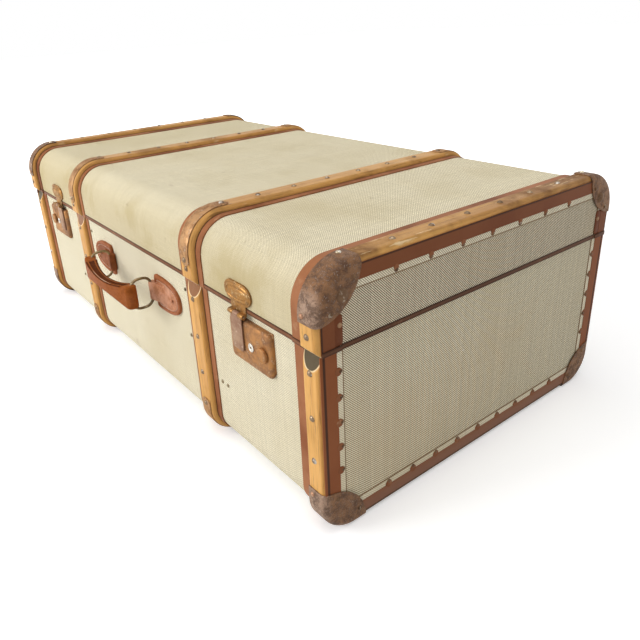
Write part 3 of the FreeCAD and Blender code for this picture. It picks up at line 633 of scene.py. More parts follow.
class SharedEffect(Wiring):
    """Builds a shared effect as a shader node group, with a method for each effect."""

    def __init__(self, which: Effect) -> None:
        """Starts the group with its inputs and outputs, and wires it.

        Args:
            which: The effect.
        """
        name, points, values, masks = which.value
        super().__init__(bpy.data.node_groups.new(name, "ShaderNodeTree"))
        kinds = ((points, "INPUT", "Vector"), (values, "INPUT", "Float"), (masks, "OUTPUT", "Float"))
        for words, way, kind in kinds:
            for word in words.split():
                self.tree.interface.new_socket(word, in_out=way, socket_type="NodeSocket" + kind)
        source = self.tree.nodes.new("NodeGroupInput")
        self.given = {socket.name.lower(): socket for socket in source.outputs if socket.name}
        self.out = self.tree.nodes.new("NodeGroupOutput")
        getattr(self, name)()

    def give(self, **masks: Socket) -> None:
        """Joins values to the group's outputs, named in lower case."""
        for key, value in masks.items():
            self.feed(self.out.inputs[key.capitalize()], value)

    def wrap_path(self) -> None:
        """Distance along and across a sheet that is bent round the front, the flat side and the back."""
        x, y, z = self.parts(self.given["point"])
        side = self.math("SIGN", self.math("SUBTRACT", self.given["middle"], y))
        rise = self.math("MULTIPLY", self.math("SUBTRACT", z, self.given["level"]), self.given["turn"])
        self.give(along=self.math("MULTIPLY_ADD", rise, side, y), across=x)

    def twill_weave(self) -> None:
        """Threads of a coarse twill: height, which thread lies on top, and each thread's own tone."""
        u, v = (self.math("DIVIDE", self.given[way], self.given["pitch"]) for way in ("across", "along"))
        column, row = self.math("FLOOR", u), self.math("FLOOR", v)
        repeat, over = 4.0, 1.5  # threads in a repeat, and the step up to which the warp lies on top
        step = self.math("FLOORED_MODULO", self.math("ADD", column, row), repeat)
        warp = self.math("LESS_THAN", step, over)
        weft = self.math("SUBTRACT", 1.0, warp)
        rounds = [self.math("SINE", self.math("MULTIPLY", self.math("FRACT", n), math.pi)) for n in (u, v)]
        tones = [
            self.add("TexWhiteNoise", {"W": n}, noise_dimensions="1D").outputs[0] for n in (column, row)
        ]
        height, slub = (
            self.math("MULTIPLY_ADD", second, weft, self.math("MULTIPLY", first, warp))
            for first, second in (rounds, tones)
        )
        self.give(height=height, slub=slub, warp=warp)

    def blotches(self) -> None:
        """Soft uneven patches, such as stains, dust and rubbed places."""
        patch = self.noise(self.given["point"], self.given["scale"], detail=5.0, rough=0.62)
        self.give(mask=self.fade(patch, self.given["low"], self.given["high"]))

    def wood_grain(self) -> None:
        """Long grain of bent wood: broad streaks, fine pores and the height of both."""
        place = self.given["across"], self.given["along"]
        broad = self.drawn_out(*place, fine=160.0, long=5.0, seed=self.given["seed"])
        fine = self.drawn_out(*place, fine=900.0, long=26.0, seed=self.given["seed"])
        streak = self.fade(self.noise(broad, 1.0, detail=4.0, rough=0.6), low=0.32, high=0.7)
        pore = self.fade(self.noise(fine, 1.0, detail=3.0, rough=0.6), low=0.56, high=0.7)
        self.give(streak=streak, pore=pore, height=self.math("SUBTRACT", streak, pore))

    def pitted_metal(self) -> None:
        """Corroded sheet metal: pebbled height, rust patches and bright rubbed specks."""
        point, scale = self.given["point"], self.math("DIVIDE", 1.0, self.given["size"])
        pebble = self.noise(point, scale)
        grit = self.noise(point, self.math("MULTIPLY", scale, 4.0), detail=2.0, rough=0.6)
        patch = self.noise(point, self.math("MULTIPLY", scale, 0.22), detail=4.0, rough=0.65)
        self.give(
            height=self.math("MULTIPLY_ADD", grit, 0.25, pebble),
            rust=self.fade(self.math("MULTIPLY_ADD", pebble, 0.7, patch), low=0.7, high=1.02),
            bright=self.fade(self.math("MULTIPLY_ADD", grit, 0.4, pebble), low=0.78, high=0.92),
        )

    def hide_grain(self) -> None:
        """Leather: small cells, fine creases and rubbed patches."""
        point, scale = self.given["point"], self.math("DIVIDE", 1.0, self.given["size"])
        inputs = {"Vector": point, "Scale": scale}
        cell = self.add("TexVoronoi", inputs, feature="DISTANCE_TO_EDGE").outputs["Distance"]
        crease = self.noise(point, self.math("MULTIPLY", scale, 0.35), detail=5.0, rough=0.7)
        rub = self.noise(point, self.math("MULTIPLY", scale, 0.06), detail=4.0)
        self.give(
            height=self.math("MULTIPLY_ADD", self.fade(cell, low=0.0, high=0.22), 0.5, crease),
            crease=self.fade(crease, low=0.42, high=0.62),
            rub=self.fade(rub, low=0.42, high=0.7),
        )


# Finishes.


@dataclass(frozen=True)
class Finish:
    """A named finish. Each kind of finish wires its own surface."""

    name: str

    def wire(self, w: Surface) -> None:
        """Joins the finish's nodes to the shader of a material."""
        raise NotImplementedError

    def material(self) -> bpy.types.Material:
        """Finds the material of this finish, and makes it the first time.

        Returns:
            The material.
        """
        known = bpy.data.materials.get(self.name)
        if known:
            return known
        made = bpy.data.materials.new(self.name)
        made.use_nodes = True
        self.wire(Surface(made))
        return made

    def dress(self, *pieces: Piece) -> None:
        """Gives the finish to all the slots of some pieces.

        Args:
            *pieces: The objects to dress.
        """
        for piece in pieces:
            if not piece.material_slots:
                piece.data.materials.append(None)
            for held in piece.material_slots:
                held.material = self.material()

    def dress_nodes(self, *names: str) -> None:
        """Gives the finish to some CAD nodes."""
        self.dress(*(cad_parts[name] for name in names))
        log.info("%s: %s", self.name, ", ".join(names))


@dataclass(frozen=True)
class Bent(Finish):
    """A finish on something bent round the trunk, with the path that its pattern follows."""

    half: Half = Half.BASE

    def path(self, w: Surface) -> dict[str, Socket]:
        """Distance along and across the bent sheet.

        Args:
            w: The wiring of the material.

        Returns:
            The values along and across.
        """
        low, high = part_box(self.half.node("canvas"))
        return w.effect(
            Effect.WRAP,
            point=w.point,
            middle=(low.y + high.y) / 2,
            level=self.half.flat(low, high),
            turn=1.0 if self.half is Half.LID else -1.0,
        )


@dataclass(frozen=True)
class Canvas(Bent):
    """Woven trunk canvas, stained and dusty, with painted shadow lines below the lid's edge and along the
    end strips' seams.
    """

    warp: Colour = (0.99, 0.915, 0.70)
    weft: Colour = (0.69, 0.605, 0.415)
    gap: Colour = (0.40, 0.33, 0.20)
    stain: Colour = (0.50, 0.40, 0.20)
    spot: Colour = (0.24, 0.15, 0.075)
    fleck: Colour = (0.97, 0.95, 0.88)
    pitch: float = 0.66 * MM
    contrast: float = 0.8
    soil: float = 0.3
    left_soil: float = 0.0
    front_soil: float = 0.0
    flat: bool = False
    seam_in: float = 0.0
    broad: Blot = Blot(3.4, 0.44, 0.74)
    smears: Blot = Blot(12.0, 0.46, 0.72)
    spots: Blot = Blot(42.0, 0.66, 0.76)
    flecks: Blot = Blot(40.0, 0.72, 0.75)
    front_from: float = 4.0 * MM
    front_full: float = 30.0 * MM
    parting_shade_from: float = 2.4 * MM
    parting_shade_full: float = 0.8 * MM
    seam_shade_from: float = 1.5 * MM
    seam_shade_full: float = 0.7 * MM
    slubs: Pair = (0.85, 1.08)
    hollows: Pair = (0.75, 0.1)
    front_least: float = 0.55
    parting_shade_share: float = 0.8
    fleck_share: float = 0.85
    rough: Pair = (0.78, 0.95)
    relief: float = 0.3 * MM
    bump: float = 0.6
    gleam: float = 0.12

    def wire(self, w: Surface) -> None:
        """Joins the weave, its stains and the painted shadow lines to the shader.

        Args:
            w: The wiring of the material.
        """
        x, y, z = w.places
        low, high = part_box(self.half.node("canvas"))
        path = {"across": y, "along": z} if self.flat else self.path(w)
        weave = w.effect(Effect.WEAVE, **path, pitch=self.pitch)
        thread = w.mix(weave["warp"], self.weft, self.warp)
        shade = w.span(weave["slub"], *self.slubs)
        thread = w.mix(1.0, thread, w.vector(shade, shade, shade), "MULTIPLY")
        hollow = w.fade(weave["height"], *self.hollows)
        cloth = w.tint(thread, self.gap, hollow, self.contrast)
        cloth = w.tint(cloth, self.stain, w.blotch(self.broad), self.soil)
        smears = w.blotch(self.smears)
        cloth = w.tint(cloth, self.stain, smears, self.soil / 2)
        if self.left_soil:
            cloth = w.tint(cloth, self.stain, w.fade(x, 0.0, low.x), self.left_soil)
        if self.front_soil:
            lower = w.fade(z, high.z + self.front_from, high.z - self.front_full)
            worn = w.span(smears, self.front_soil * self.front_least, self.front_soil)
            cloth = w.tint(cloth, self.stain, lower, worn)
        # painted shadow: the base canvas darkens in a thin band just below the lid's edge
        if self.half is Half.BASE:
            rim = w.fade(z, high.z - self.parting_shade_from, high.z - self.parting_shade_full)
            cloth = w.tint(cloth, self.spot, rim, self.parting_shade_share)
        # painted shadow: a dark line along the end strip's inner, folded edge
        if self.seam_in:
            inside = w.inside(self.half.node("canvas"), self.half)
            seam = w.fade(inside, self.seam_in - self.seam_shade_from, self.seam_in - self.seam_shade_full)
            cloth = w.mix(seam, cloth, self.spot)
        cloth = w.tint(cloth, self.spot, w.blotch(self.spots), self.soil)
        cloth = w.tint(cloth, self.fleck, w.blotch(self.flecks), self.fleck_share)
        rough = w.span(hollow, *self.rough)
        w.lay(cloth, rough, w.bump(weave["height"], self.relief, self.bump), self.gleam)


@dataclass(frozen=True)
class Wood(Bent):
    """Honey-coloured bentwood under old varnish, dark with handling on its upper faces."""

    honey: Colour = (0.72, 0.39, 0.115)
    streak: Colour = (0.52, 0.245, 0.066)
    pore: Colour = (0.17, 0.075, 0.025)
    dirt: Colour = (0.155, 0.07, 0.026)
    chip: Colour = (0.80, 0.60, 0.34)
    end_grain: Colour = (0.105, 0.078, 0.042)
    floor_dark: Colour = (0.075, 0.06, 0.045)
    dirty: float = 0.3
    chipped: float = 0.4
    shade_from: float = 9.0  # far above the trunk, so that nothing is shaded
    shade_to: float = 10.0
    back_shade: float = 0.0
    scooped: str = ""
    scoop: float = 17.0 * MM
    clipped: str = ""
    foot: float = 0.0
    patches: Blot = Blot(16.0, 0.4, 0.68)
    grain_seed: float = 1.7
    streak_share: float = 0.75
    pore_share: float = 0.55
    side_dirt: float = 0.55
    top_dirt: float = 0.45
    back_uneven: float = 160.0 * MM
    back_zone: Pair = (-80.0 * MM, 300.0 * MM)
    chip_seed: float = 4.3
    chip_scale: Pair = (260.0, 24.0)
    chip_edge: Pair = (0.62, 0.70)
    floor_dark_share: float = 0.8
    floor_dark_zone: Pair = (10.0 * MM, 4.0 * MM)
    foot_glint_from: float = 2.1 * MM
    foot_glint_full: float = 1.3 * MM
    clip_shadow_out: float = 0.3 * MM
    clip_shadow_edge: Pair = (1.2 * MM, 0.5 * MM)
    clip_shadow_end: float = 1.0 * MM
    clip_shadow_share: float = 0.85
    cut_edge: Pair = (0.6 * MM, 0.3 * MM)
    scoop_rim: Pair = (1.09, 1.03)
    scoop_bed: Pair = (0.99, 0.95)
    rough: Pair = (0.36, 0.62)
    relief: float = 0.25 * MM
    bump: float = 0.5
    gleam: float = 0.1

    def wire(self, w: Surface) -> None:
        """Joins the grain, dirt and chips, with painted shade and highlight lines, to the shader.

        Args:
            w: The wiring of the material.
        """
        path = self.path(w)
        grain = w.effect(Effect.GRAIN, **path, seed=self.grain_seed)
        wood = w.tint(self.honey, self.streak, grain["streak"], self.streak_share)
        wood = w.tint(wood, self.pore, grain["pore"], self.pore_share)
        patches = w.blotch(self.patches)
        _, y, z = w.places
        top = w.fade(z, self.shade_from, self.shade_to)
        soiled = w.math("MULTIPLY", patches, w.span(top, self.dirty * self.side_dirt, self.dirty))
        wood = w.mix(w.math("MULTIPLY_ADD", top, self.dirty * self.top_dirt, soiled), wood, self.dirt)
        # painted shade: the slat darkens towards the back
        if self.back_shade:
            uneven = w.math("MULTIPLY_ADD", patches, self.back_uneven, y)
            behind = w.fade(uneven, *self.back_zone)
            wood = w.tint(wood, self.dirt, behind, self.back_shade)
        spread = w.drawn_out(path["across"], path["along"], *self.chip_scale, self.chip_seed)
        chips = w.fade(w.noise(spread, 1.0, detail=4.0, rough=0.6), *self.chip_edge)
        wood = w.tint(wood, self.chip, chips, w.span(top, self.chipped / 2, self.chipped))
        if self.scooped:
            wood = self.scoop_ends(w, wood)
        # painted shadow along the clips' inner edges
        if self.clipped:
            wood = self.clip_shadows(w, wood)
        # the base slats darken towards the floor
        if self.half is Half.BASE:
            near_floor = w.fade(z, *self.floor_dark_zone)
            wood = w.tint(wood, self.floor_dark, near_floor, self.floor_dark_share)
        # painted highlight: a pale line along the foot of the lid's slats, standing in for light on the
        # lower edge
        if self.foot:
            wood = w.mix(w.fade(z, self.foot + self.foot_glint_from, self.foot + self.foot_glint_full), wood, self.chip)
        relief = w.bump(w.math("SUBTRACT", grain["height"], chips), self.relief, self.bump)
        w.lay(wood, w.span(patches, *self.rough), relief, self.gleam)

    def clip_shadows(self, w: Surface, wood: Socket) -> Socket:
        """Paints a dark shadow line on the slat along the inner edges of the clips.

        Args:
            w: The wiring of the material.
            wood: Colour of the slat.

        Returns:
            The colour with the painted shadow lines.
        """
        x, y, z = w.places
        slat_low, slat_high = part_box(self.clipped)
        for low, high in solid_boxes(self.half.node("bend_clips")):
            if high.x < slat_low.x or low.x > slat_high.x:
                continue
            line = w.fade(w.off(x, high.x + self.clip_shadow_out), *self.clip_shadow_edge)
            for value, first, last in ((y, low.y, high.y), (z, low.z, high.z)):
                line = w.math("MULTIPLY", line, w.fade(value, first - self.clip_shadow_end, first))
                line = w.math("MULTIPLY", line, w.fade(value, last + self.clip_shadow_end, last))
            # painted shadow beside the clip, in the pore colour
            wood = w.tint(wood, self.pore, line, self.clip_shadow_share)
        return wood

    def scoop_ends(self, w: Surface, wood: Socket) -> Socket:
        """Paints the round scoop at the upper ends of a base slat: dark end grain and a pale lower rim.

        Args:
            w: The wiring of the material.
            wood: Colour of the slat.

        Returns:
            The colour with the scoops.
        """
        x, _, z = w.places
        low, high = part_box(self.scooped)
        half = (high.x - low.x) / 2
        aside = w.math("DIVIDE", w.math("SUBTRACT", x, (low.x + high.x) / 2), half)
        down = w.math("DIVIDE", w.math("SUBTRACT", high.z, z), self.scoop)
        away = w.math("SQRT", w.math("MULTIPLY_ADD", aside, aside, w.math("MULTIPLY", down, down)))
        for way, reach in end_planes(self.scooped):
            dot = w.add("VectorMath", {0: w.point, 1: way}, operation="DOT_PRODUCT").outputs["Value"]
            cut = w.fade(w.math("SUBTRACT", reach, dot), *self.cut_edge)
            wood = w.tint(wood, self.chip, cut, w.fade(away, *self.scoop_rim))
            wood = w.tint(wood, self.end_grain, cut, w.fade(away, *self.scoop_bed))
        return wood


def end_planes(
    node: str, zone: float = 30.0 * MM, rise: float = 0.15, lean: float = 0.3
) -> list[tuple[Colour, float]]:
    """Finds the planes of a slat's sloping upper ends.

    Args:
        node: The slat's CAD node.
        zone: How far below the slat's top the ends are looked for.
        rise: Smallest share of an end's normal upwards.
        lean: Smallest share of it to the front or the back.

    Returns:
        Normal and distance from the origin of the front and back plane.
    """
    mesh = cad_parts[node].data
    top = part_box(node)[1].z
    found = []
    for side in (-1, 1):
        faces = [
            face for face in mesh.polygons
            if face.normal.z > rise and face.normal.y * side > lean and face.center.z > top - zone
        ]
        widest = max(faces, key=lambda face: face.area)
        found.append((tuple(widest.normal), widest.normal.dot(widest.center)))
    return found


@dataclass(frozen=True)
class Fibre(Finish):
    """Chestnut vulcanised fibre, rubbed pale in places, with painted shade against the slats, along its
    folds and across the rolled binding.
    """

    chestnut: Colour = (0.345, 0.14, 0.062)
    deep: Colour = (0.19, 0.062, 0.024)
    pale: Colour = (0.50, 0.29, 0.16)
    shade_tone: Colour = (0.035, 0.018, 0.012)
    dust: Colour = (0.25, 0.155, 0.11)
    edging: str = ""
    rolled: str = ""
    mottle: Blot = Blot(11.0, 0.38, 0.66)
    rubs: Blot = Blot(60.0, 0.58, 0.74)
    slat_shade_edge: Pair = (2.6 * MM, 1.0 * MM)
    end_shade_from: float = 1.2 * MM
    end_shade_full: float = 0.6 * MM
    face_out: float = 0.7 * MM
    face_soft: float = 0.3 * MM
    dust_zone: Pair = (30.0 * MM, 12.0 * MM)
    fold_shade_edge: Pair = (1.9 * MM, 0.9 * MM)
    rub_share: float = 0.5
    slat_shade_share: float = 0.9
    crest_highlight: Pair = (0.55, 0.1)
    crest_highlight_share: float = 0.14
    flank_shade: Pair = (0.5, 1.0)
    flank_shade_share: float = 0.75
    end_shade_share: float = 0.55
    deep_share: float = 0.85
    dust_share: float = 0.5
    fold_shade_share: float = 0.85
    rough: Pair = (0.46, 0.68)
    nap: float = 900.0
    relief: float = 0.18 * MM
    bump: float = 0.5
    gleam: float = 0.06

    def wire(self, w: Surface) -> None:
        """Joins the mottling, the rubbed places, the painted shade along the slats and the binding's painted
        highlight and shade to the shader.

        Args:
            w: The wiring of the material.
        """
        tone = w.mix(w.blotch(self.mottle), self.chestnut, self.deep)
        rubs = w.blotch(self.rubs)
        tone = w.tint(tone, self.pale, rubs, self.rub_share)
        x, _, z = w.places
        aside = w.math("ABSOLUTE", x)
        if self.edging:
            tone = self.folded(w, tone, aside)
        # painted shadow: dark lines on the fibre along the slats' edges
        middle_low, middle_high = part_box("base_slat_3")
        beside: object = 0.0
        for edge in (middle_low.x, middle_high.x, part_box("base_slat_4")[0].x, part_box("lid_slat_4")[0].x):
            close = w.fade(w.off(aside, edge), *self.slat_shade_edge)
            beside = w.math("MAXIMUM", beside, close)
        tone = w.tint(tone, self.shade_tone, beside, self.slat_shade_share)
        # painted highlight along the middle of the rolled binding, painted shade along its edges and where
        # it meets the ends
        if self.rolled:
            low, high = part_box(self.rolled)
            off = w.math("DIVIDE", w.off(z, (low.z + high.z) / 2), (high.z - low.z) / 2)
            tone = w.mix(w.span(w.fade(off, *self.crest_highlight), 0.0, self.crest_highlight_share), tone, self.pale)
            tone = w.mix(w.span(w.fade(off, *self.flank_shade), 0.0, self.flank_shade_share), tone, self.shade_tone)
            on_end = w.fade(aside, high.x - self.end_shade_from, high.x - self.end_shade_full)
            tone = w.tint(tone, self.shade_tone, on_end, self.end_shade_share)
        relief = w.bump(w.noise(w.point, self.nap), self.relief, self.bump)
        w.lay(tone, w.span(rubs, *self.rough), relief, self.gleam)

    def folded(self, w: Surface, tone: Socket, aside: Socket) -> Socket:
        """Deepens the edging on the trunk's ends, and paints shade along its fold.

        Args:
            w: The wiring of the material.
            tone: Colour of the fibre.
            aside: Distance from the middle in X.

        Returns:
            The colour with the folded part darker.
        """
        half = Half(self.edging.split("_")[0])
        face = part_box(half.node("slat_4"))[1].x + self.face_out
        on_end = w.fade(aside, face - self.face_soft, face + self.face_soft)
        tone = w.tint(tone, self.deep, on_end, self.deep_share)
        if half is Half.BASE:
            near_floor = w.math("MULTIPLY", w.fade(w.places[2], *self.dust_zone), on_end)
            tone = w.tint(tone, self.dust, near_floor, self.dust_share)
        # painted shadow along the edging's fold on the ends
        inside = w.inside(self.edging, half)
        fold = w.math("MULTIPLY", w.fade(inside, *self.fold_shade_edge), on_end)
        return w.tint(tone, self.shade_tone, fold, self.fold_shade_share)


def edging_fibre(half: Half) -> Fibre:
    """The edging's fibre, deeper on the lid."""
    deep = (0.16, 0.05, 0.019) if half is Half.LID else (0.23, 0.072, 0.026)
    return Fibre("fibre_edging_" + half.value, edging=half.node("fibre_edges"), deep=deep)


@dataclass(frozen=True)
class Metal(Finish):
    """Old pressed metal with pits, rust and rubbed bright places, and where a node is given a painted sheen
    on its front and back faces.
    """

    plain: Colour = (0.30, 0.18, 0.10)
    rust: Colour = (0.13, 0.07, 0.045)
    bright: Colour = (0.55, 0.42, 0.30)
    size: float = 3.2 * MM
    deep: float = 0.35 * MM
    metal: float = 0.55
    gloss: float = 0.42
    dull: float = 0.7
    shine: float = 0.7
    edge_tint: Colour = (0.8, 0.62, 0.42)
    # node whose faces nearest the front and the back get a painted sheen
    rubbed: str = ""
    sheen_from: float = 10.0 * MM
    sheen_full: float = 1.0 * MM
    sheen_shares: Pair = (0.5, 0.1)
    bump: float = 0.8
    gleam: float = 0.12

    def wire(self, w: Surface) -> None:
        """Joins the pits, the rust, the bright places and the painted sheen to the shader.

        Args:
            w: The wiring of the material.
        """
        pits = w.effect(Effect.PITS, point=w.point, size=self.size)
        rust = pits["rust"]
        tone = w.mix(rust, self.plain, self.rust)
        tone = w.tint(tone, self.bright, pits["bright"], self.shine)
        # painted highlight: a paler sheen on the faces nearest the front and the back
        if self.rubbed:
            low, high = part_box(self.rubbed)
            off = w.off(w.places[1], (low.y + high.y) / 2)
            reach = (high.y - low.y) / 2
            front = w.fade(off, reach - self.sheen_from, reach - self.sheen_full)
            tone = w.tint(tone, self.bright, front, w.span(rust, *self.sheen_shares))
        w.set(Metallic=w.span(rust, self.metal, self.metal / 2), Specular_Tint=self.edge_tint)
        rough = w.span(rust, self.gloss, self.dull)
        w.lay(tone, rough, w.bump(pits["height"], self.deep, self.bump), self.gleam)


@dataclass(frozen=True)
class Leather(Finish):
    """Chestnut leather, polished by hands and rubbed pink where it stands proud."""

    chestnut: Colour = (0.29, 0.08, 0.016)
    dark: Colour = (0.12, 0.03, 0.008)
    worn: Colour = (0.50, 0.21, 0.125)
    size: float = 1.3 * MM
    wear: float = 0.5
    gloss: float = 0.3
    coat: float = 0.15
    coat_rough: float = 0.14
    coat_ior: float = 1.3
    crease_share: float = 0.35
    crease_dull: float = 0.22
    relief: float = 0.22 * MM
    bump: float = 0.45
    gleam: float = 0.005

    def wire(self, w: Surface) -> None:
        """Joins the grain, creases and worn places to the shader.

        Args:
            w: The wiring of the material.
        """
        hide = w.effect(Effect.HIDE, point=w.point, size=self.size)
        tone = w.mix(w.span(hide["crease"], self.crease_share, 0.0), self.chestnut, self.dark)
        tone = w.tint(tone, self.worn, hide["rub"], self.wear)
        rough = w.span(hide["crease"], self.gloss + self.crease_dull, self.gloss)
        w.lay(tone, rough, w.bump(hide["height"], self.relief, self.bump), self.gleam)
        w.set(Coat_Weight=self.coat, Coat_Roughness=self.coat_rough, Coat_IOR=self.coat_ior)


@dataclass(frozen=True)
class Paper(Finish):
    """Lining paper, faintly ribbed and foxed with age."""

    cream: Colour = (0.62, 0.55, 0.41)
    aged: Colour = (0.47, 0.38, 0.25)
    fox: Colour = (0.30, 0.17, 0.08)
    broad: Blot = Blot(5.0, 0.4, 0.7)
    marks: Blot = Blot(55.0, 0.66, 0.74)
    fox_share: float = 0.6
    rib_pitch: float = 4.0 * MM
    rib_edge: Pair = (0.55, 0.95)
    rib_share: float = 0.18
    rough: Pair = (0.8, 0.92)
    nap: float = 700.0
    relief: float = 0.12 * MM
    bump: float = 0.4

    def wire(self, w: Surface) -> None:
        """Joins the ribs and the fox marks to the shader.

        Args:
            w: The wiring of the material.
        """
        broad = w.blotch(self.broad)
        tone = w.mix(broad, self.cream, self.aged)
        tone = w.tint(tone, self.fox, w.blotch(self.marks), self.fox_share)
        ribs = w.math("SINE", w.math("MULTIPLY", w.places[0], math.tau / self.rib_pitch))
        tone = w.tint(tone, self.aged, w.fade(ribs, *self.rib_edge), self.rib_share)
        rough = w.span(broad, *self.rough)
        w.lay(tone, rough, w.bump(w.noise(w.point, self.nap), self.relief, self.bump))


@dataclass(frozen=True)
class Thread(Finish):
    """Waxed sewing thread with a slight twist."""

    pale: Colour = (0.90, 0.76, 0.58)
    dark: Colour = (0.62, 0.42, 0.27)
    soil: Blot = Blot(120.0, 0.35, 0.7)
    rough: Pair = (0.55, 0.8)
    twist: float = 2600.0
    relief: float = 0.1 * MM
    bump: float = 0.6

    def wire(self, w: Surface) -> None:
        """Joins the dirt and twist to the shader.

        Args:
            w: The wiring of the material.
        """
        soiled = w.blotch(self.soil)
        tone = w.mix(soiled, self.pale, self.dark)
        twist = w.bump(w.noise(w.point, self.twist, detail=1.0), self.relief, self.bump)
        w.lay(tone, w.span(soiled, *self.rough), twist)


@dataclass(frozen=True)
class Floor(Finish):
    """White studio floor that the camera sees as white where no shadow falls."""

    white: Colour = (0.86, 0.86, 0.86)
    near: float = 0.55
    far: float = 1.9
    lift: float = 0.36
    rough: float = 0.9
    gleam: float = 0.1

    def wire(self, w: Surface) -> None:
        """Adds light of its own to the floor for what looks at it, more of it far from the trunk.

        Args:
            w: The wiring of the material.
        """
        w.set(Base_Color=self.white, Roughness=self.rough, Specular_IOR_Level=self.gleam)
        w.set(Emission_Strength=1.0)
        away = w.add("VectorMath", {0: w.point}, operation="LENGTH").outputs["Value"]
        glow = w.span(w.fade(away, self.near, self.far), self.lift, 1.0)
        w.set(Emission_Color=w.tint((0, 0, 0), (1, 1, 1), w.seen(), glow))


# Sub-assemblies.


def hand_over(piece: Piece, body: str, slot: str, finish: Finish, *stands_for: str) -> None:
    """Dresses a new piece and fixes it to its body.

    Args:
        piece: The finished mesh.
        body: The CAD body that it rides on.
        slot: Name of the record's material slot; not used.
        finish: How it looks.
        *stands_for: CAD nodes that it replaces.
    """
    finish.dress(piece)
    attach(piece, body)
    if stands_for:
        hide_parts(*stands_for)
    log.info("%s rides %s, %d faces", piece.name, body, len(piece.data.polygons))


def give_slots(piece: Piece, *finishes: Finish) -> None:
    """Gives a piece a material slot for each of its finishes."""
    for finish in finishes:
        piece.data.materials.append(finish.material())


@dataclass
class Carcass:
    """The plywood halves with their canvas, lining and inner woodwork."""

    def dress(self) -> None:
        """Dresses the carcass's CAD nodes."""
        Canvas(
            "canvas_base", half=Half.BASE, warp=(1.0, 0.945, 0.76), weft=(0.80, 0.72, 0.52),
            gap=(0.36, 0.30, 0.18), contrast=0.9, soil=0.22,
        ).dress_nodes("base_canvas")
        Canvas(
            "canvas_lid", half=Half.LID, soil=0.4, left_soil=0.28, front_soil=0.7
        ).dress_nodes("lid_canvas")
        for half in Half:
            lid = half is Half.LID
            Canvas(
                "canvas_end_" + half.value, half=half, flat=True, contrast=0.3, pitch=0.61 * MM,
                warp=(0.95, 0.85, 0.64) if lid else (1.0, 0.94, 0.72),
                weft=(0.13, 0.09, 0.05) if lid else (0.32, 0.24, 0.135),
                gap=(0.10, 0.075, 0.045), stain=(0.56, 0.40, 0.2), soil=0.25,
            ).dress_nodes(half.node("end_canvas"))
            Canvas(
                "canvas_strip_" + half.value, half=half, flat=True, contrast=0.3, soil=0.35,
                warp=(1.0, 0.93, 0.74), weft=(0.42, 0.34, 0.22) if lid else (0.68, 0.59, 0.42),
                seam_in=self.strip_reach(half),
            ).dress_nodes(half.node("end_strips"))
            Wood(
                "plywood_" + half.value, half=half, honey=(0.52, 0.35, 0.19), streak=(0.40, 0.25, 0.12)
            ).dress_nodes(half.node("shell"), half.node("ends"))
        Paper("lining_paper_aged").dress_nodes("base_lining", "lid_lining")
        Wood(
            "rim_wood_worn", honey=(0.46, 0.29, 0.14), streak=(0.34, 0.19, 0.085)
        ).dress_nodes("base_lip", "tray_runners")

    @staticmethod
    def strip_reach(half: Half) -> float:
        """Measures how far the strip on an end reaches in from the front.

        Args:
            half: The half of the trunk.

        Returns:
            Distance from the canvas of the front to the strip's inner edge.
        """
        node = half.node("end_strips")
        low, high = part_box(node)
        open_z = low.z if half is Half.LID else high.z
        front_leg = [
            vert.co.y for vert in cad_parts[node].data.vertices
            if vert.co.y < (low.y + high.y) / 2 and abs(vert.co.z - open_z) < HAIR
        ]
        return max(front_leg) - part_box(half.node("canvas"))[0].y


@dataclass
class Bands:
    """Vulcanised fibre: bands under the slats, edging of the ends and the lid's binding."""

    turn_long: float = 22.0 * MM
    turn_thick: float = 0.9 * MM
    turn_under: float = 1.0 * MM
    soft: float = 0.35 * MM
    # the binding's rolled finish carries a painted highlight and painted shade
    binding: Fibre = Fibre(
        "fibre_binding", chestnut=(0.18, 0.068, 0.03), deep=(0.13, 0.046, 0.021), rolled="lid_binding"
    )

    def dress(self) -> None:
        """Dresses the fibre's CAD nodes and models the binding's turn round the corners."""
        Fibre("fibre_chestnut").dress_nodes("base_fibre_bands", "lid_fibre_bands")
        for half in Half:
            edging_fibre(half).dress_nodes(half.node("fibre_edges"))
        self.binding.dress_nodes("lid_binding")
        self.binding_turns()

    def binding_turns(self) -> None:
        """Models the binding where it passes over the edging at the lid's corners."""
        bind_low, bind_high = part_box("lid_binding")
        edge_low, edge_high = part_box("lid_fibre_edges")
        inner = min(low.x for low, _ in solid_boxes("lid_fibre_edges") if low.x > 0)
        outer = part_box("lid_slat_4")[0].x + self.turn_under
        turn = slab(
            "turn",
            Vector((edge_high.x - HAIR, edge_low.y, bind_low.z)),
            Vector((edge_high.x + self.turn_thick, edge_low.y + self.turn_long, bind_high.z)),
        )
        along_front = slab(
            "turn_front",
            Vector((inner, edge_low.y - self.turn_thick, bind_low.z)),
            Vector((outer, edge_low.y + HAIR, bind_high.z)),
        )
        joined(turn, along_front)
        rounded(turn, self.soft)
        piece = copied(turn, four_corners(edge_low.y + edge_high.y), "lid_binding_turns", CREASED)
        hand_over(piece, "lid", "fibre", self.binding)


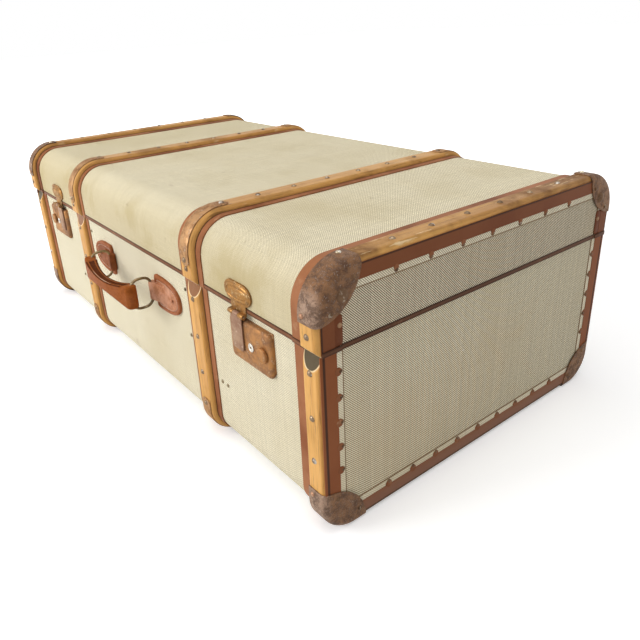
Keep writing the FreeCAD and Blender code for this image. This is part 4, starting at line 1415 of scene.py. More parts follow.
@dataclass
class Slats:
    """Bentwood slats with their clips and rivets."""

    count: int = 4
    cut_wood: Colour = (0.27, 0.12, 0.05)
    shade_from: float = 4.0 * MM
    shade_full: float = 0.5 * MM
    clip_edge: float = 0.35 * MM
    clip_slack: float = 0.4 * MM
    clip_round: float = 0.44
    clip_steps: int = 6

    def dress(self) -> None:
        """Dresses the slats and rivets and models the clips."""
        for number in range(1, self.count + 1):
            node = "base_slat_%d" % number
            outer = number in (1, self.count)
            Wood(
                "slat_base_%d" % number,
                half=Half.BASE,
                scooped=node,
                end_grain=Wood.end_grain if outer else self.cut_wood,
                clipped="" if outer else node,
            ).dress_nodes(node)
            node = "lid_slat_%d" % number
            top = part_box(node)[1].z
            last = number == self.count
            Wood(
                "slat_lid_%d" % number,
                half=Half.LID,
                shade_from=top - self.shade_from,
                shade_to=top - self.shade_full,
                dirty=0.72 if last else 0.5,
                chipped=0.9 if last else 0.6,
                back_shade=0.6 if last else 0.0,
                clipped="" if outer else node,
                foot=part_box(node)[0].z,
            ).dress_nodes(node)
        Metal(
            "rivet_dull", plain=(0.30, 0.22, 0.145), rust=(0.12, 0.075, 0.045), bright=(0.75, 0.72, 0.66),
            size=22.0 * MM, deep=0.05 * MM, metal=0.7, gloss=0.2, dull=0.45,
        ).dress_nodes("base_slat_rivets", "lid_slat_rivets")
        Metal(
            "nail_dark", plain=(0.17, 0.098, 0.056), rust=(0.085, 0.046, 0.026), bright=(0.5, 0.4, 0.3),
            size=12.0 * MM, deep=0.06 * MM, metal=0.35, gloss=0.35, dull=0.6,
        ).dress_nodes("base_end_nails", "lid_end_nails")
        Metal(
            "rivet_leather", plain=(0.46, 0.20, 0.11), rust=(0.40, 0.17, 0.09), bright=(0.55, 0.30, 0.19),
            size=12.0 * MM, deep=0.06 * MM, metal=0.2, gloss=0.4, dull=0.6,
        ).dress_nodes("chape_rivets")
        Metal(
            "rivet_dark", plain=(0.24, 0.19, 0.115), rust=(0.13, 0.095, 0.055), bright=(0.4, 0.33, 0.22),
            size=16.0 * MM, deep=0.05 * MM, metal=0.3,
        ).dress_nodes("wall_rivets")
        self.clips()

    def clips(self) -> None:
        """Models the clips that hold the middle slats round the bends, with rounded tips."""
        finish = Metal(
            "clip_gold", plain=(0.44, 0.25, 0.12), rust=(0.24, 0.12, 0.055), size=4.0 * MM, deep=0.12 * MM
        )
        for half in Half:
            node = half.node("bend_clips")
            piece = cad_copy(node, node + "_pressed")
            low, high = solid_boxes(node)[-1]
            limit = high.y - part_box(half.node("slat_3"))[1].y + self.clip_slack
            with editing(piece):
                take(piece, Pick.EDGE, lambda place, way: abs(way.x) < WELD and way.length < limit)
                bevelled((high.x - low.x) * self.clip_round, self.clip_steps)
            rounded(piece, self.clip_edge)
            smooth(piece)
            hand_over(piece, half.value, "cap_steel", finish, node)


@dataclass
class Corners:
    """Pressed steel corner caps and what holds the edging at the ends."""

    edge: float = 0.45 * MM
    around: int = 14
    tab_radius: float = 4.2 * MM
    lid_tab_radius: float = 3.1 * MM
    tab_thick: float = 1.5 * MM
    tab_edge: float = 0.4 * MM
    tab_back: float = 2.6 * MM
    tab_zone: float = 10.5 * MM
    lip_rise: float = 4.0 * MM
    lip_under: float = 1.0 * MM
    lip_seat: float = 0.2 * MM
    lip_soft: float = 0.5 * MM
    stud_radius: float = 2.6 * MM
    stud_steps: Steps = ((0.15, 0.6), (0.5, 0.5), (0.9, 0.35))
    stud_in: float = 6.0 * MM
    stud_up: float = 7.0 * MM
    crown_in: float = 5.0 * MM
    crown_back: float = 9.0 * MM
    wide_tab: float = 9.0 * MM
    wide_tab_up: float = 6.0 * MM
    wide_tab_round: float = 4.0 * MM
    wide_tab_edge: float = 0.3 * MM
    round_steps: int = 4
    wide_tab_under: float = 1.0 * MM
    wide_tab_seat: float = 0.4 * MM
    wide_tab_sunk: float = 0.2 * MM
    nail_sunk: float = 0.3 * MM
    nail_in: float = 1.3
    nail_down: float = 1.6
    tab_fibre: Fibre = Fibre("fibre_tab", chestnut=(0.25, 0.095, 0.042))
    wide_tab_fibre: Fibre = Fibre(
        "fibre_corner_tab", chestnut=(0.16, 0.05, 0.02), deep=(0.115, 0.034, 0.013)
    )
    brown: Metal = Metal(
        "rivet_brown", plain=(0.29, 0.17, 0.095), rust=(0.18, 0.095, 0.052), bright=(0.55, 0.42, 0.3),
        size=12.0 * MM, deep=0.06 * MM, metal=0.35, gloss=0.4, dull=0.6,
    )
    copper: Metal = Metal(
        "rivet_copper", plain=(0.45, 0.25, 0.155), rust=(0.26, 0.13, 0.075), bright=(0.8, 0.65, 0.5),
        size=12.0 * MM, deep=0.05 * MM, metal=0.6, gloss=0.3, dull=0.5,
    )
    nickel: Metal = Metal(
        "rivet_nickel", plain=(0.62, 0.56, 0.42), rust=(0.35, 0.28, 0.18), bright=(0.9, 0.87, 0.8),
        size=12.0 * MM, deep=0.04 * MM, metal=0.9, gloss=0.2, dull=0.4, edge_tint=(1.0, 0.95, 0.85),
    )

    def dress(self) -> None:
        """Models the caps, the tabs under the end nails, the raised edging and the studs of the caps."""
        self.caps()
        for half in Half:
            self.tabs(half)
            self.studs(half)
        self.crown_studs()
        self.corner_tabs()
        self.lips()

    def caps(self) -> None:
        """Models the caps from their CAD form, with rolled edges."""
        for half in Half:
            node = half.node("corner_caps")
            # each cap gets a painted sheen on its front and back faces
            finish = Metal(
                "cap_hammered_" + half.value, plain=(0.235, 0.12, 0.06), rust=(0.105, 0.056, 0.035),
                bright=(0.50, 0.37, 0.29), size=2.0 * MM, deep=1.5 * MM, metal=0.22, gloss=0.3, dull=0.5,
                shine=0.5, rubbed=node,
            )
            piece = cad_copy(node, node + "_pressed")
            rounded(piece, self.edge)
            smooth(piece)
            hand_over(piece, half.value, "cap_steel", finish, node)

    def tabs(self, half: Half) -> None:
        """Models the round fibre tabs that the end nails go through.

        Args:
            half: The half of the trunk.
        """
        strip_low, strip_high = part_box(half.node("end_strips"))
        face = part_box(half.node("end_canvas"))[1].x
        wall = strip_high.x - face
        middle = (strip_low.y + strip_high.y) / 2
        level = half.flat(strip_low, strip_high)
        out = self.tab_back if half is Half.LID else -self.tab_back
        places = []
        for low, high in solid_boxes(half.node("end_nails")):
            centre = (low + high) / 2
            if abs(centre.x) > strip_high.x + wall:
                continue
            side = math.copysign(1.0, centre.x)
            spot = Vector((side * face, centre.y, centre.z))
            if abs(centre.z - level) < self.tab_zone:
                spot.z += out
            else:
                spot.y += math.copysign(self.tab_back, centre.y - middle)
            places.append(Matrix.Translation(spot) @ Matrix.Rotation(side * math.pi / 2, 4, "Z"))
        tab = disc("tab", self.tab_radius if half is Half.BASE else self.lid_tab_radius, self.around)
        with editing(tab):
            take_all()
            raised(self.tab_thick)
            take(tab, Pick.EDGE, lambda place, way: place.y < HAIR - self.tab_thick)
            bevelled(self.tab_edge, segments=1)
            faced_out()
        piece = copied(tab, places, half.node("nail_tabs"), CREASED)
        hand_over(piece, half.value, "fibre", self.tab_fibre)

    def lips(self) -> None:
        """Models the edging's lip that stands up beside the end slats of the base."""
        edge_low, edge_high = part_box("base_fibre_edges")
        slat_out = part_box("base_slat_4")[1].x
        cap_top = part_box("base_corner_caps")[1].z
        foot = Vector((slat_out, edge_low.y - self.lip_rise, cap_top - self.lip_under))
        lip = slab("lip", foot, Vector((edge_high.x, edge_low.y + self.lip_seat, edge_high.z)))
        rounded(lip, self.lip_soft)
        piece = copied(lip, four_corners(edge_low.y + edge_high.y), "base_edge_lips", CREASED)
        hand_over(piece, "base", "fibre", edging_fibre(Half.BASE))

    def studs(self, half: Half) -> None:
        """Models the round studs that hold the caps on the front and the back.

        Args:
            half: The half of the trunk.
        """
        places = []
        for low, high in solid_boxes(half.node("corner_caps")):
            front = low.y + high.y < 0
            inner = low.x if low.x > 0 else high.x
            inner += math.copysign(self.stud_in, inner)
            lift = high.z - self.stud_up if half is Half.BASE else low.z + self.stud_up
            place = Matrix.Translation((inner, low.y if front else high.y, lift))
            places.append(place if front else place @ Matrix.Rotation(math.pi, 4, "Z"))
        piece = copied(self.stud(), places, half.node("cap_studs"))
        hand_over(piece, half.value, "rivet_steel", self.copper)

    def stud(self) -> Piece:
        """Models one stud, a domed head that faces -Y at the origin.

        Returns:
            The stud.
        """
        piece = disc("stud", self.stud_radius, self.around)
        with editing(piece):
            take_all()
            terraced(Vector(), self.stud_radius, self.stud_radius, self.stud_steps)
            faced_out()
        return piece

    def crown_studs(self) -> None:
        """Models the bright studs that fix the lid's caps to the tops of the end slats."""
        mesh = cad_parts["lid_corner_caps"].data
        faces = [tuple(face.vertices) for face in mesh.polygons]
        skin = BVHTree.FromPolygons([vert.co for vert in mesh.vertices], faces)
        slat_low, slat_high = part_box("lid_slat_4")
        aside = (slat_low.x + slat_high.x) / 2 - self.crown_in
        up = Matrix.Rotation(-math.pi / 2, 4, "X")
        places = []
        for low, high in solid_boxes("lid_corner_caps"):
            front = low.y + high.y < 0
            depth = high.y - self.crown_back if front else low.y + self.crown_back
            above = Vector((math.copysign(aside, low.x), depth, high.z + self.stud_up))
            place = skin.ray_cast(above, Vector((0, 0, -1)))[0]
            if place:
                places.append(Matrix.Translation(place) @ up)
        piece = copied(self.stud(), places, "lid_crown_studs")
        hand_over(piece, "lid", "rivet_steel", self.nickel)

    def corner_tabs(self) -> None:
        """Models the wide fibre tabs on the lid's ends, under the caps, each with its nail."""
        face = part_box("lid_fibre_edges")[1].x
        strip_low, strip_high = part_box("lid_end_strips")
        cap_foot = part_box("lid_corner_caps")[0].z
        bind_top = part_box("lid_binding")[1].z
        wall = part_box("lid_end_canvas")[1].x
        inner = strip_low.y + self.wide_tab
        tab = slab(
            "corner_tab",
            Vector((wall, strip_low.y - self.wide_tab_under, bind_top - self.wide_tab_seat)),
            Vector((face - self.wide_tab_sunk, inner, cap_foot + self.wide_tab_up)),
        )
        with editing(tab):
            take(tab, Pick.EDGE, lambda place, way: runs(way, 0) and place.y > inner - HAIR)
            bevelled(self.wide_tab_round, self.round_steps)
        rounded(tab, self.wide_tab_edge)
        corners = four_corners(strip_low.y + strip_high.y)
        hand_over(copied(tab, corners, "lid_corner_tabs", CREASED), "lid", "fibre", self.wide_tab_fibre)
        spot = Matrix.Translation((
            face - self.nail_sunk,
            inner - self.stud_radius * self.nail_in,
            cap_foot - self.stud_radius * self.nail_down,
        )) @ Matrix.Rotation(math.pi / 2, 4, "Z")
        nails = copied(self.stud(), [corner @ spot for corner in corners], "lid_tab_nails")
        hand_over(nails, "lid", "rivet_steel", self.brown)


@dataclass
class Locks:
    """Two front locks: hollow case, bolt with a button, bush, hasp and the hasp's oval plate."""

    edge: float = 0.4 * MM
    bolt_edge: float = 0.24 * MM
    bush_edge: float = 0.2 * MM
    oval_edge: float = 0.28 * MM
    taper: float = 0.6 * MM
    case_near: float = 0.05 * MM
    case_skin: float = 0.01 * MM
    case_soft: float = 3.6 * MM
    case_steps: int = 5
    corner: float = 6.5 * MM
    corner_rim: float = 0.96
    strap_corner: float = 3.5 * MM
    strap_steps: int = 4
    strap_drawn: float = 7.0 * MM
    strap_foot: float = 6.0 * MM
    plate_thick: float = 0.6 * MM
    button_steps: Steps = ((1.0, 0.0), (0.5, 0.35), (2.0, -0.2), (2.0, -0.12))
    button_skin: float = 0.3 * MM
    oval_around: int = 56
    oval_power: float = 2.5
    oval_top: float = 2.0 * MM
    oval_drawn: float = 0.84
    oval_rim: float = 1.8 * MM
    oval_steps: Steps = (
        (0.5, 0.5), (0.8, 0.4), (1.8, 0.2), (0.7, -0.45), (1.2, 0.0), (0.6, 0.45), (1.2, 0.3), (2.0, 0.25)
    )

    def dress(self) -> None:
        """Models the fittings of both locks."""
        brown = Metal(
            "lock_brown", plain=(0.40, 0.19, 0.07), rust=(0.21, 0.105, 0.055), bright=(0.55, 0.35, 0.2),
            size=6.0 * MM, deep=0.16 * MM, metal=0.45, gloss=0.36, dull=0.6,
        )
        oval = Metal(
            "oval_brass", plain=(0.34, 0.17, 0.055), rust=(0.17, 0.085, 0.032), bright=(0.7, 0.5, 0.26),
            size=5.0 * MM, deep=0.1 * MM, metal=0.6, gloss=0.26, dull=0.5,
        )
        strap = Metal(
            "hasp_worn", plain=(0.36, 0.235, 0.16), rust=(0.26, 0.145, 0.095), bright=(0.6, 0.45, 0.34),
            size=6.0 * MM, deep=0.12 * MM, metal=0.5, gloss=0.34, dull=0.55,
        )
        nickel = Metal(
            "nickel_bright", plain=(0.78, 0.76, 0.7), rust=(0.4, 0.37, 0.31), bright=(0.9, 0.89, 0.86),
            size=5.0 * MM, deep=0.04 * MM, metal=1.0, gloss=0.16, dull=0.4, edge_tint=(1.0, 1.0, 1.0),
        )
        pins = Metal("pin_steel", plain=(0.30, 0.24, 0.18), size=9.0 * MM, deep=0.04 * MM, metal=0.8)
        pins.dress_nodes("hasp_pin_left", "hasp_pin_right")
        right = {
            "lock_plate": (self.plate(), "base", "lock_brass", brown),
            "lock_bolt": (self.bolt(), "bolt_%s", "lock_brass", brown),
            "key_bush": (self.bush(), "base", "nickel", nickel),
            "hasp": (self.hasp(), "hasp_%s", "lock_brass", strap),
            "hasp_plate": (self.oval_plate(), "lid", "lock_brass", oval),
        }
        for kind, (piece, body, slot, finish) in right.items():
            smooth(piece)
            other = mirrored(piece, kind + "_left_pressed")
            for hand, made in ((Hand.RIGHT, piece), (Hand.LEFT, other)):
                rides = body % hand.value if "%" in body else body
                hand_over(made, rides, slot, finish, "%s_%s" % (kind, hand.value))

    def plate(self) -> Piece:
        """Models the right lock plate: one flat face out to its rounded corners, over the hollow case.

        Returns:
            The plate.
        """
        low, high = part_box("lock_plate_right")
        piece = cad_copy("lock_plate_right", "lock_plate_right_pressed")
        face = low.y + self.case_skin
        fronts = [vert.co for vert in piece.data.vertices if vert.co.y < face]
        case_low = Vector((min(p.x for p in fronts), 0, min(p.z for p in fronts)))
        case_high = Vector((max(p.x for p in fronts), 0, max(p.z for p in fronts)))

        def spread(point: Vector) -> Vector:
            """Pushes the outer walls of the case out to the rim of the plate.

            Args:
                point: A corner of the mesh.

            Returns:
                Its new place.
            """
            for axis in (0, 2):
                if abs(point[axis] - case_low[axis]) < self.case_near:
                    point[axis] = low[axis] + self.taper
                elif abs(point[axis] - case_high[axis]) < self.case_near:
                    point[axis] = high[axis] - self.taper
            return point

        def inset(place: Vector) -> tuple[float, float]:
            """How far a place is inside the plate's outline in X and in Z."""
            return tuple(min(place[axis] - low[axis], high[axis] - place[axis]) for axis in (0, 2))

        def corner(place: Vector, way: Vector) -> bool:
            """Tells whether an edge is upright, at one of the case's outer corners."""
            upright = runs(way, 1) and place.y <= high.y - self.plate_thick
            return upright and max(inset(place)) < self.taper + HAIR

        def rim(place: Vector, way: Vector) -> bool:
            """Tells whether an edge is on the outline of the case's front.

            Args:
                place: The edge's middle.
                way: Its span.

            Returns:
                Whether it is.
            """
            in_x, in_z = (depth - self.taper for depth in inset(place))
            if place.y > face or min(in_x, in_z) < self.case_near:
                return place.y <= face
            away = math.hypot(self.corner - in_x, self.corner - in_z)
            return max(in_x, in_z) < self.corner and away > self.corner * self.corner_rim

        mould(piece, spread)
        with editing(piece):
            take(piece, Pick.EDGE, corner)
            bevelled(self.corner, self.case_steps)
            take(piece, Pick.EDGE, rim)
            bevelled(self.case_soft, self.case_steps)
        rounded(piece, self.edge)
        return piece

    def bolt(self) -> Piece:
        """Models the right bolt, its button domed inside a rim.

        Returns:
            The bolt.
        """
        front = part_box("lock_bolt_right")[0].y + self.button_skin
        piece = cad_copy("lock_bolt_right", "lock_bolt_right_pressed")
        with editing(piece):
            if take(piece, Pick.FACE, lambda place, way: way.y < -FACING and place.y < front):
                for inward, down in self.button_steps:
                    bpy.ops.mesh.inset(thickness=inward * MM, depth=0.0)
                    shift(down * MM)
        rounded(piece, self.bolt_edge)
        return piece

    def bush(self) -> Piece:
        """Models the right keyhole bush with a fine rim.

        Returns:
            The bush.
        """
        piece = cad_copy("key_bush_right", "key_bush_right_pressed")
        rounded(piece, self.bush_edge)
        return piece

    def hasp(self) -> Piece:
        """Models the right hasp, drawn in on its outer side, with rounded lower corners.

        Returns:
            The hasp.
        """
        low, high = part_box("hasp_right")
        piece = cad_copy("hasp_right", "hasp_right_pressed")
        right = high.x - self.strap_drawn

        def narrow(point: Vector) -> Vector:
            """Draws in the strap's outer side, beside the lock's bush."""
            drawn = self.strap_drawn if point.x > high.x - HAIR else 0.0
            return point - Vector((drawn, 0, 0))

        def corner(place: Vector, way: Vector) -> bool:
            """Tells whether an edge goes through the strap at one of its lower corners."""
            at_x = min(abs(place.x - low.x), abs(place.x - right)) < HAIR
            return runs(way, 1) and at_x and place.z < low.z + self.strap_foot

        mould(piece, narrow)
        with editing(piece):
            if take(piece, Pick.EDGE, corner):
                bevelled(self.strap_corner, self.strap_steps)
        rounded(piece, self.edge)
        return piece

    def oval_plate(self) -> Piece:
        """Models the right oval plate, with rings pressed up on its oval.

        Returns:
            The plate.
        """
        piece = cad_copy("hasp_plate_right", "hasp_plate_right_pressed")
        low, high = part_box("hasp_plate_right")
        middle = Vector(((low.x + high.x) / 2, 0, 0))
        fronts = [vert.co.y for vert in piece.data.vertices if vert.co.z > high.z - self.oval_top]
        middle.y = min(fronts)
        brows = [vert.co.z for vert in piece.data.vertices if vert.co.x > high.x - HAIR]
        middle.z = (min(brows) + max(brows)) / 2
        half_x, half_z = high.x - middle.x, high.z - middle.z
        in_x, in_z = half_x - self.oval_rim, half_z - self.oval_rim
        rounded(piece, self.oval_edge)
        face = disc("pressed", 1.0, self.oval_around)

        def outline(point: Vector) -> Vector:
            """Carries the round disc to an oval just inside the plate's rim."""
            x, z = squared(point.x, self.oval_power), squared(point.z, self.oval_power)
            return middle + Vector((x * in_x, 0, z * in_z))

        mould(face, outline)
        with editing(face):
            take_all()
            terraced(middle, in_x, in_z, self.oval_steps)
            faced_out()
        joined(piece, face)
        foot = middle.z - half_z

        def lower(point: Vector) -> Vector:
            """Draws the oval down to its neck."""
            above = max(point.z - foot, 0.0)
            return point - Vector((0, 0, above * (1.0 - self.oval_drawn)))

        mould(piece, lower)
        return piece


@dataclass
class Hinges:
    """Three steel hinges on the back."""

    def dress(self) -> None:
        """Dresses the hinges' CAD nodes."""
        steel = Metal(
            "hinge_steel_dull", plain=(0.28, 0.23, 0.18), rust=(0.14, 0.08, 0.05),
            size=5.0 * MM, deep=0.1 * MM, metal=0.75,
        )
        steel.dress_nodes("base_hinge_leaves", "lid_hinge_leaves", "hinge_pins")


@dataclass
class Handle:
    """Leather grip on two wire rings, which hang in leather chapes."""

    around: int = 72
    wire_sides: int = 10
    ring_shade: float = 80.0
    bow_power: float = 2.8
    ring_bulge: float = 1.2 * MM
    grip_cuts: int = 39
    grip_corner: float = 7.0 * MM
    corner_steps: int = 4
    grip_soft: float = 2.8 * MM
    soft_steps: int = 3
    grip_sag: float = 11.0 * MM
    grip_waist: float = 8.4 * MM
    ridge: float = 3.1 * MM
    groove: float = 1.3 * MM
    groove_wall: float = 0.7 * MM
    groove_end: float = 0.9
    seam_in: float = 2.3 * MM
    grip_leather: Leather = Leather("leather_grip", chestnut=(0.30, 0.085, 0.016), wear=0.1, coat=0.1)
    # painted shade: the groove's leather is dark where the recess lies in shade
    groove_shade_leather: Leather = Leather(
        "leather_groove_shaded", chestnut=(0.10, 0.028, 0.009), dark=(0.05, 0.015, 0.006),
        wear=0.05, gloss=0.4, coat=0.0,
    )
    rim_leather: Leather = Leather("leather_rim", chestnut=(0.34, 0.115, 0.045), wear=0.35)
    field_leather: Leather = Leather(
        "leather_field", chestnut=(0.50, 0.22, 0.115), worn=(0.63, 0.34, 0.225), wear=0.7
    )
    # painted shade: the left chape's field, a darker copy of the right one's leather
    shaded_field: Leather = Leather(
        "leather_field_shaded", chestnut=(0.24, 0.075, 0.026), worn=(0.36, 0.14, 0.07), wear=0.4, gloss=0.28
    )
    # real front stitches whose pale thread also stands in for a highlight along the grip's outer top edge
    highlight_thread: Thread = Thread("thread_grip_highlight")
    dark_thread: Thread = Thread("thread_grip_dark", pale=(0.2, 0.08, 0.035), dark=(0.09, 0.035, 0.016))
    chape_thread: Thread = Thread("thread_pale", pale=(0.62, 0.42, 0.3), dark=(0.35, 0.18, 0.11))
    chape_shade: float = 50.0
    leaf_around: int = 60
    leaf_round: float = 2.5
    leaf_square: float = 9.0
    leaf_flank: float = 0.7
    leaf_thick: float = 4.0 * MM
    leaf_straight: float = 17.0 * MM
    leaf_in: float = 3.0 * MM
    leaf_steps: Steps = ((0.5, 0.6), (0.9, 0.5), (1.9, 0.1), (0.8, -0.5), (0.5, -0.5), (1.5, 0.0))
    roll_half: float = 12.4 * MM
    roll_long: float = 34.0 * MM
    roll_soft: float = 3.6 * MM
    roll_steps: int = 5
    roll_edge: float = 1.5 * MM
    roll_end: float = 0.6
    stitch_long: float = 2.3 * MM
    stitch_gap: float = 0.9 * MM
    stitch_thick: float = 1.0 * MM
    stitch_tip: float = 0.45

    def dress(self) -> None:
        """Models the grip, the rings and the chapes."""
        self.rings()
        self.grip()
        self.chapes()

    def rings(self) -> None:
        """Models the wire rings, bowed between the chape and the grip."""
        low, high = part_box("ring_right")
        wire = (high.x - low.x) / 2
        half = Vector((0, (high.y - low.y) / 2 - wire, (high.z - low.z) / 2 - wire))
        centre = (low + high) / 2
        bpy.ops.object.select_all(action="DESELECT")
        bpy.ops.mesh.primitive_torus_add(
            major_segments=self.around, minor_segments=self.wire_sides, major_radius=1.0, minor_radius=wire,
            rotation=(0, math.pi / 2, 0),
        )
        piece = settled("ring_right_bent")

        def path(turn: float) -> Vector:
            """Point of the ring's middle line at an angle."""
            y, z = (squared(value, self.bow_power) for value in (math.cos(turn), math.sin(turn)))
            return Vector((0, y * half.y, z * (half.z + self.ring_bulge)))

        def bend(point: Vector) -> Vector:
            """Carries a corner of the round ring's mesh to the bowed one.

            Args:
                point: Its place on the round ring.

            Returns:
                Its place on the bowed one.
            """
            turn = math.atan2(point.z, point.y)
            off = math.hypot(point.y, point.z) - 1.0
            step = 0.02
            ahead = path(turn + step) - path(turn - step)
            out = Vector((0, ahead.z, -ahead.y)).normalized()
            return centre + path(turn) + out * off + Vector((point.x, 0, 0))

        mould(piece, bend)
        with editing(piece):
            faced_out()
        smooth(piece, self.ring_shade)
        brass = Metal(
            "ring_brass_dark", plain=(0.25, 0.18, 0.095), rust=(0.12, 0.085, 0.05), bright=(0.5, 0.4, 0.24),
            size=9.0 * MM, deep=0.05 * MM, metal=0.85, gloss=0.3, dull=0.5,
        )
        other = mirrored(piece, "ring_left_bent")
        hand_over(piece, "ring_right", "ring_brass", brass, "ring_right")
        hand_over(other, "ring_left", "ring_brass", brass, "ring_left")

    def grip(self) -> None:
        """Models the grip: bowed, narrow in the middle, with a groove between two ridges along its top."""
        low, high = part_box("grip")
        ring_low, ring_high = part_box("ring_right")
        bar = (ring_low.x + ring_high.x) / 2
        end = high.x - bar
        tall = (high.z - low.z) / 2
        line = ring_low.y + (ring_high.x - ring_low.x) / 2
        bow = line - end - low.y
        level = (low.z + high.z) / 2

        def bowed(point: Vector) -> Vector:
            """Bows the straight bar and draws in its middle.

            Args:
                point: A place on the straight bar.

            Returns:
                Its place on the bowed grip.
            """
            along = min(abs(point.x) / bar, 1.0)
            arch = 1.0 - along * along
            depth = point.y / end
            outer, inner = -end - bow * arch, end - self.grip_sag * arch
            y = line + (outer * (1.0 - depth) + inner * (1.0 + depth)) / 2
            return Vector((point.x, y, level + point.z * (1.0 - self.grip_waist / tall * arch)))

        piece = slab("grip_sewn", Vector((-bar - end, -end, -tall)), Vector((bar + end, end, tall)))
        give_slots(piece, self.grip_leather, self.groove_shade_leather)
        with editing(piece):
            take(piece, Pick.EDGE, lambda place, way: runs(way, 2))
            bevelled(self.grip_corner, self.corner_steps)
            take(piece, Pick.EDGE, lambda place, way: abs(place.z) > tall - HAIR)
            bevelled(self.grip_soft, self.soft_steps)
            for index in range(1, self.grip_cuts):
                x = (index / self.grip_cuts * 2.0 - 1.0) * (bar + end - self.grip_corner)
                take_all()
                bpy.ops.mesh.bisect(plane_co=(x, 0, 0), plane_no=(1, 0, 0))
            reach = bar - end * self.groove_end
            take(piece, Pick.FACE, lambda place, way: way.z > FACING and abs(place.x) < reach)
            bpy.ops.mesh.inset(thickness=self.ridge, depth=0.0)
            bpy.ops.mesh.inset(thickness=self.groove_wall, depth=-self.groove)
            for face in bmesh.from_edit_mesh(piece.data).faces:
                face.material_index = int(face.select)
        mould(piece, bowed)
        modify(piece, "SUBSURF", levels=1, render_levels=1)
        smooth(piece, ROUND)
        hand_over(piece, "grip", "leather", self.grip_leather, "grip")
        # the groove takes the dark leather of painted shade
        piece.material_slots[1].material = self.groove_shade_leather.material()
        for side, y, thread in (("front", -1.0, self.highlight_thread), ("back", 1.0, self.dark_thread)):
            corner = Vector((bar - end, y * (end - self.seam_in), tall))
            self.grip_seam("grip_stitches_" + side, bowed, corner, thread)

    def grip_seam(self, name: str, bowed: Rule, corner: Vector, thread: Thread) -> None:
        """Sews one ridge of the grip.

        Args:
            name: Name of the row of stitches.
            bowed: Carries a point of the straight grip to the bowed one.
            corner: The row's right end on the straight grip.
            thread: Finish of the stitches.
        """
        step = self.stitch_long + self.stitch_gap
        count = int(corner.x * 2 / step)
        places = []
        for index in range(count):
            x = (index + 0.5 - count / 2) * step
            spot = bowed(Vector((x, corner.y, corner.z)))
            ahead = bowed(Vector((x + MM, corner.y, corner.z))) - spot
            places.append(Matrix.Translation(spot) @ ahead.to_track_quat("X", "Z").to_matrix().to_4x4())
        hand_over(copied(self.stitch(), places, name), "grip", "leather", thread)

    def stitch(self) -> Piece:
        """Models one stitch along X, drawn down at its ends.

        Returns:
            The stitch.
        """
        half = Vector((self.stitch_long, self.stitch_thick, self.stitch_thick)) / 2
        piece = slab("stitch", -half, half)
        with editing(piece):
            take(piece, Pick.EDGE, lambda place, way: runs(way, 0))
            bpy.ops.mesh.subdivide(number_cuts=2)
            take(piece, Pick.FACE, lambda place, way: abs(way.x) > FACING)
            bpy.ops.transform.resize(value=(1, self.stitch_tip, self.stitch_tip))
        return piece

    def chapes(self) -> None:
        """Models the chapes: a leaf with a thick rim round a worn field, turned over the ring's bar."""
        low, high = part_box("chape_right")
        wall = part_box("base_canvas")[0].y
        ring_low, ring_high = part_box("ring_right")
        bar = (ring_low.x + ring_high.x) / 2
        level = (low.z + high.z) / 2
        piece, field_rim = self.leaf(bar, high, level, wall)
        turned = slab(
            "turned",
            Vector((low.x, low.y, level - self.roll_half)),
            Vector((bar + self.roll_long, wall, level + self.roll_half)),
        )
        with editing(turned):
            far = bar + self.roll_long - HAIR
            take(turned, Pick.EDGE, lambda place, way: place.x > far and place.y < (low.y + wall) / 2)
            shift(wall - self.leaf_thick * self.roll_end - low.y)
            take(turned, Pick.EDGE, lambda place, way: runs(way, 2) and place.x < bar)
            bevelled(self.roll_soft, self.roll_steps)
        rounded(turned, self.roll_edge, self.soft_steps)
        give_slots(turned, self.rim_leather, self.field_leather)
        for face in turned.data.polygons:
            face.material_index = 1
        joined(piece, turned)
        smooth(piece, self.chape_shade)
        seam = self.field_seam(field_rim)
        other = mirrored(piece, "chape_left_sewn")
        # the left chape takes the darker copy of the field leather, painted shade
        sides = ((piece, Hand.RIGHT, self.field_leather), (other, Hand.LEFT, self.shaded_field))
        for made, hand, field in sides:
            hand_over(made, "base", "leather", self.rim_leather, "chape_" + hand.value)
            made.material_slots[1].material = field.material()
        for made in (seam, mirrored(seam, "chape_stitches_left")):
            hand_over(made, "base", "leather", self.chape_thread)

    def leaf(self, bar: float, high: Vector, level: float, wall: float) -> tuple[Piece, list[Vector]]:
        """Models the right chape's leaf, straight beside the ring and round at its outer end.

        Args:
            bar: Distance of the ring's bar from the middle.
            high: Upper corner of the chape's box.
            level: Height of the chape's middle.
            wall: Depth of the wall in Y.

        Returns:
            The leaf and the corners of its worn field in order.
        """
        piece = disc("chape_right_sewn", 1.0, self.leaf_around)
        give_slots(piece, self.rim_leather, self.field_leather)
        middle = bar + self.leaf_straight
        tall = high.z - level

        def outline(point: Vector) -> Vector:
            """Carries the round disc to the leaf's outline.

            Args:
                point: A place on the disc.

            Returns:
                Its place on the leaf.
            """
            round_end = point.x >= 0
            power = self.leaf_round if round_end else self.leaf_square
            reach = high.x - middle if round_end else middle - bar - self.leaf_in
            x, z = squared(point.x, power) * reach, squared(point.z, power) * tall
            return Vector((middle + x, wall, level + z))

        mould(piece, outline)
        rim: list[Vector] = []
        with editing(piece):
            take_all()
            raised(self.leaf_thick * self.leaf_flank)
            low_x = bar + self.leaf_in
            centre = Vector(((low_x + high.x) / 2, wall, level))
            terraced(centre, (high.x - low_x) / 2, tall, self.leaf_steps)
            shape = bmesh.from_edit_mesh(piece.data)
            for face in shape.faces:
                if face.select:
                    face.material_index = 1
                    rim = [vert.co.copy() for vert in face.verts]
            faced_out()
        return piece, rim

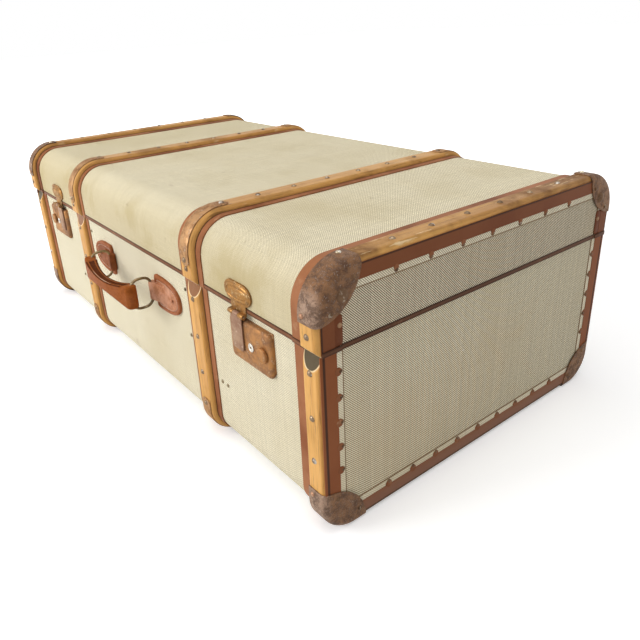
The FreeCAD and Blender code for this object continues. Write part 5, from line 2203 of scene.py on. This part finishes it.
    def field_seam(self, rim: list[Vector]) -> Piece:
        """Sews a row of stitches round the field of the right chape.

        Args:
            rim: Corners of the field in order.

        Returns:
            The row of stitches.
        """
        step = self.stitch_long + self.stitch_gap
        places = []
        left = step / 2
        for first, last in zip(rim, rim[1:] + rim[:1]):
            way = last - first
            long = way.length
            while left < long:
                spot = first + way * (left / long)
                turn = Matrix.Rotation(-math.atan2(way.z, way.x), 4, "Y")
                places.append(Matrix.Translation(spot) @ turn)
                left += step
            left -= long
        return copied(self.stitch(), places, "chape_stitches_right")


@dataclass(frozen=True)
class Lamp:
    """A square soft lamp: where it hangs, its side in metres and its power in watts."""

    name: str
    place: Colour
    side: float
    power: float

    def hang(self, target: Vector) -> None:
        """Hangs the lamp so that it points at a target.

        Args:
            target: What it points at.
        """
        light = bpy.data.lights.new(self.name, "AREA")
        light.size, light.energy = self.side, self.power
        place = Vector(self.place)
        turn = (target - place).to_track_quat("-Z", "Y").to_matrix().to_4x4()
        holder = bpy.data.objects.new(self.name, light)
        holder.matrix_world = Matrix.Translation(place) @ turn
        bpy.context.scene.collection.objects.link(holder)


@dataclass
class Studio:
    """White floor, soft lamps and the camera at the photograph's angle."""

    eye: Colour = (0.7641, -0.47915, 0.4636)
    heading: float = 53.715
    tilt: float = 23.757
    roll: float = -3.146
    lens: float = 34.8
    sensor: float = 36.0
    shift_right: float = 0.0257
    shift_up: float = -0.0491
    floor_half: float = 12.0
    sky: float = 0.32
    target: Colour = (0.0, 0.0, 0.12)
    lamps: tuple[Lamp, ...] = (
        Lamp("lamp_front", place=(-1.5, -3.1, 1.6), side=2.2, power=104.0),
        Lamp("lamp_top", place=(0.3, -0.3, 3.4), side=3.2, power=60.0),
        Lamp("lamp_side", place=(3.4, 0.9, 1.5), side=2.4, power=17.0),
    )

    def build(self) -> None:
        """Sets the stage, the light and the camera."""
        self.floor()
        self.world()
        for lamp in self.lamps:
            lamp.hang(Vector(self.target))
        self.camera()
        bpy.context.scene.view_settings.view_transform = "Standard"

    def floor(self) -> None:
        """Lays the floor."""
        bpy.ops.object.select_all(action="DESELECT")
        bpy.ops.mesh.primitive_plane_add(size=self.floor_half * 2)
        ground = settled("studio_floor")
        Floor("floor_white").dress(ground)

    def world(self) -> None:
        """Lights the scene softly from all round, and shows white to the camera and to gloss."""
        sky = bpy.data.worlds.new("studio_sky")
        bpy.context.scene.world = sky
        sky.use_nodes = True
        w = Wiring(sky.node_tree)
        back = sky.node_tree.nodes["Background"]
        w.feed(back.inputs["Color"], (1.0, 1.0, 1.0))
        w.feed(back.inputs["Strength"], w.span(w.seen(), self.sky, 1.0))

    def camera(self) -> None:
        """Places the camera where the photograph was taken from."""
        lens = bpy.data.cameras.new("photo_camera")
        lens.lens, lens.sensor_width = self.lens, self.sensor
        lens.sensor_fit = "HORIZONTAL"
        lens.shift_x, lens.shift_y = self.shift_right, self.shift_up
        holder = bpy.data.objects.new("photo_camera", lens)
        turn = Matrix.Rotation(math.radians(self.heading), 4, "Z")
        turn = turn @ Matrix.Rotation(math.radians(90.0 - self.tilt), 4, "X")
        turn = turn @ Matrix.Rotation(math.radians(self.roll), 4, "Z")
        holder.matrix_world = Matrix.Translation(self.eye) @ turn
        bpy.context.scene.collection.objects.link(holder)
        bpy.context.scene.camera = holder


def main() -> None:
    """Builds the studio and every sub-assembly."""
    logging.basicConfig(level=logging.INFO, format="%(message)s")
    Studio().build()
    for part in (Carcass(), Bands(), Slats(), Corners(), Locks(), Hinges(), Handle()):
        part.dress()
        log.info("%s done", type(part).__name__)


if __name__ == "__main__":
    main()
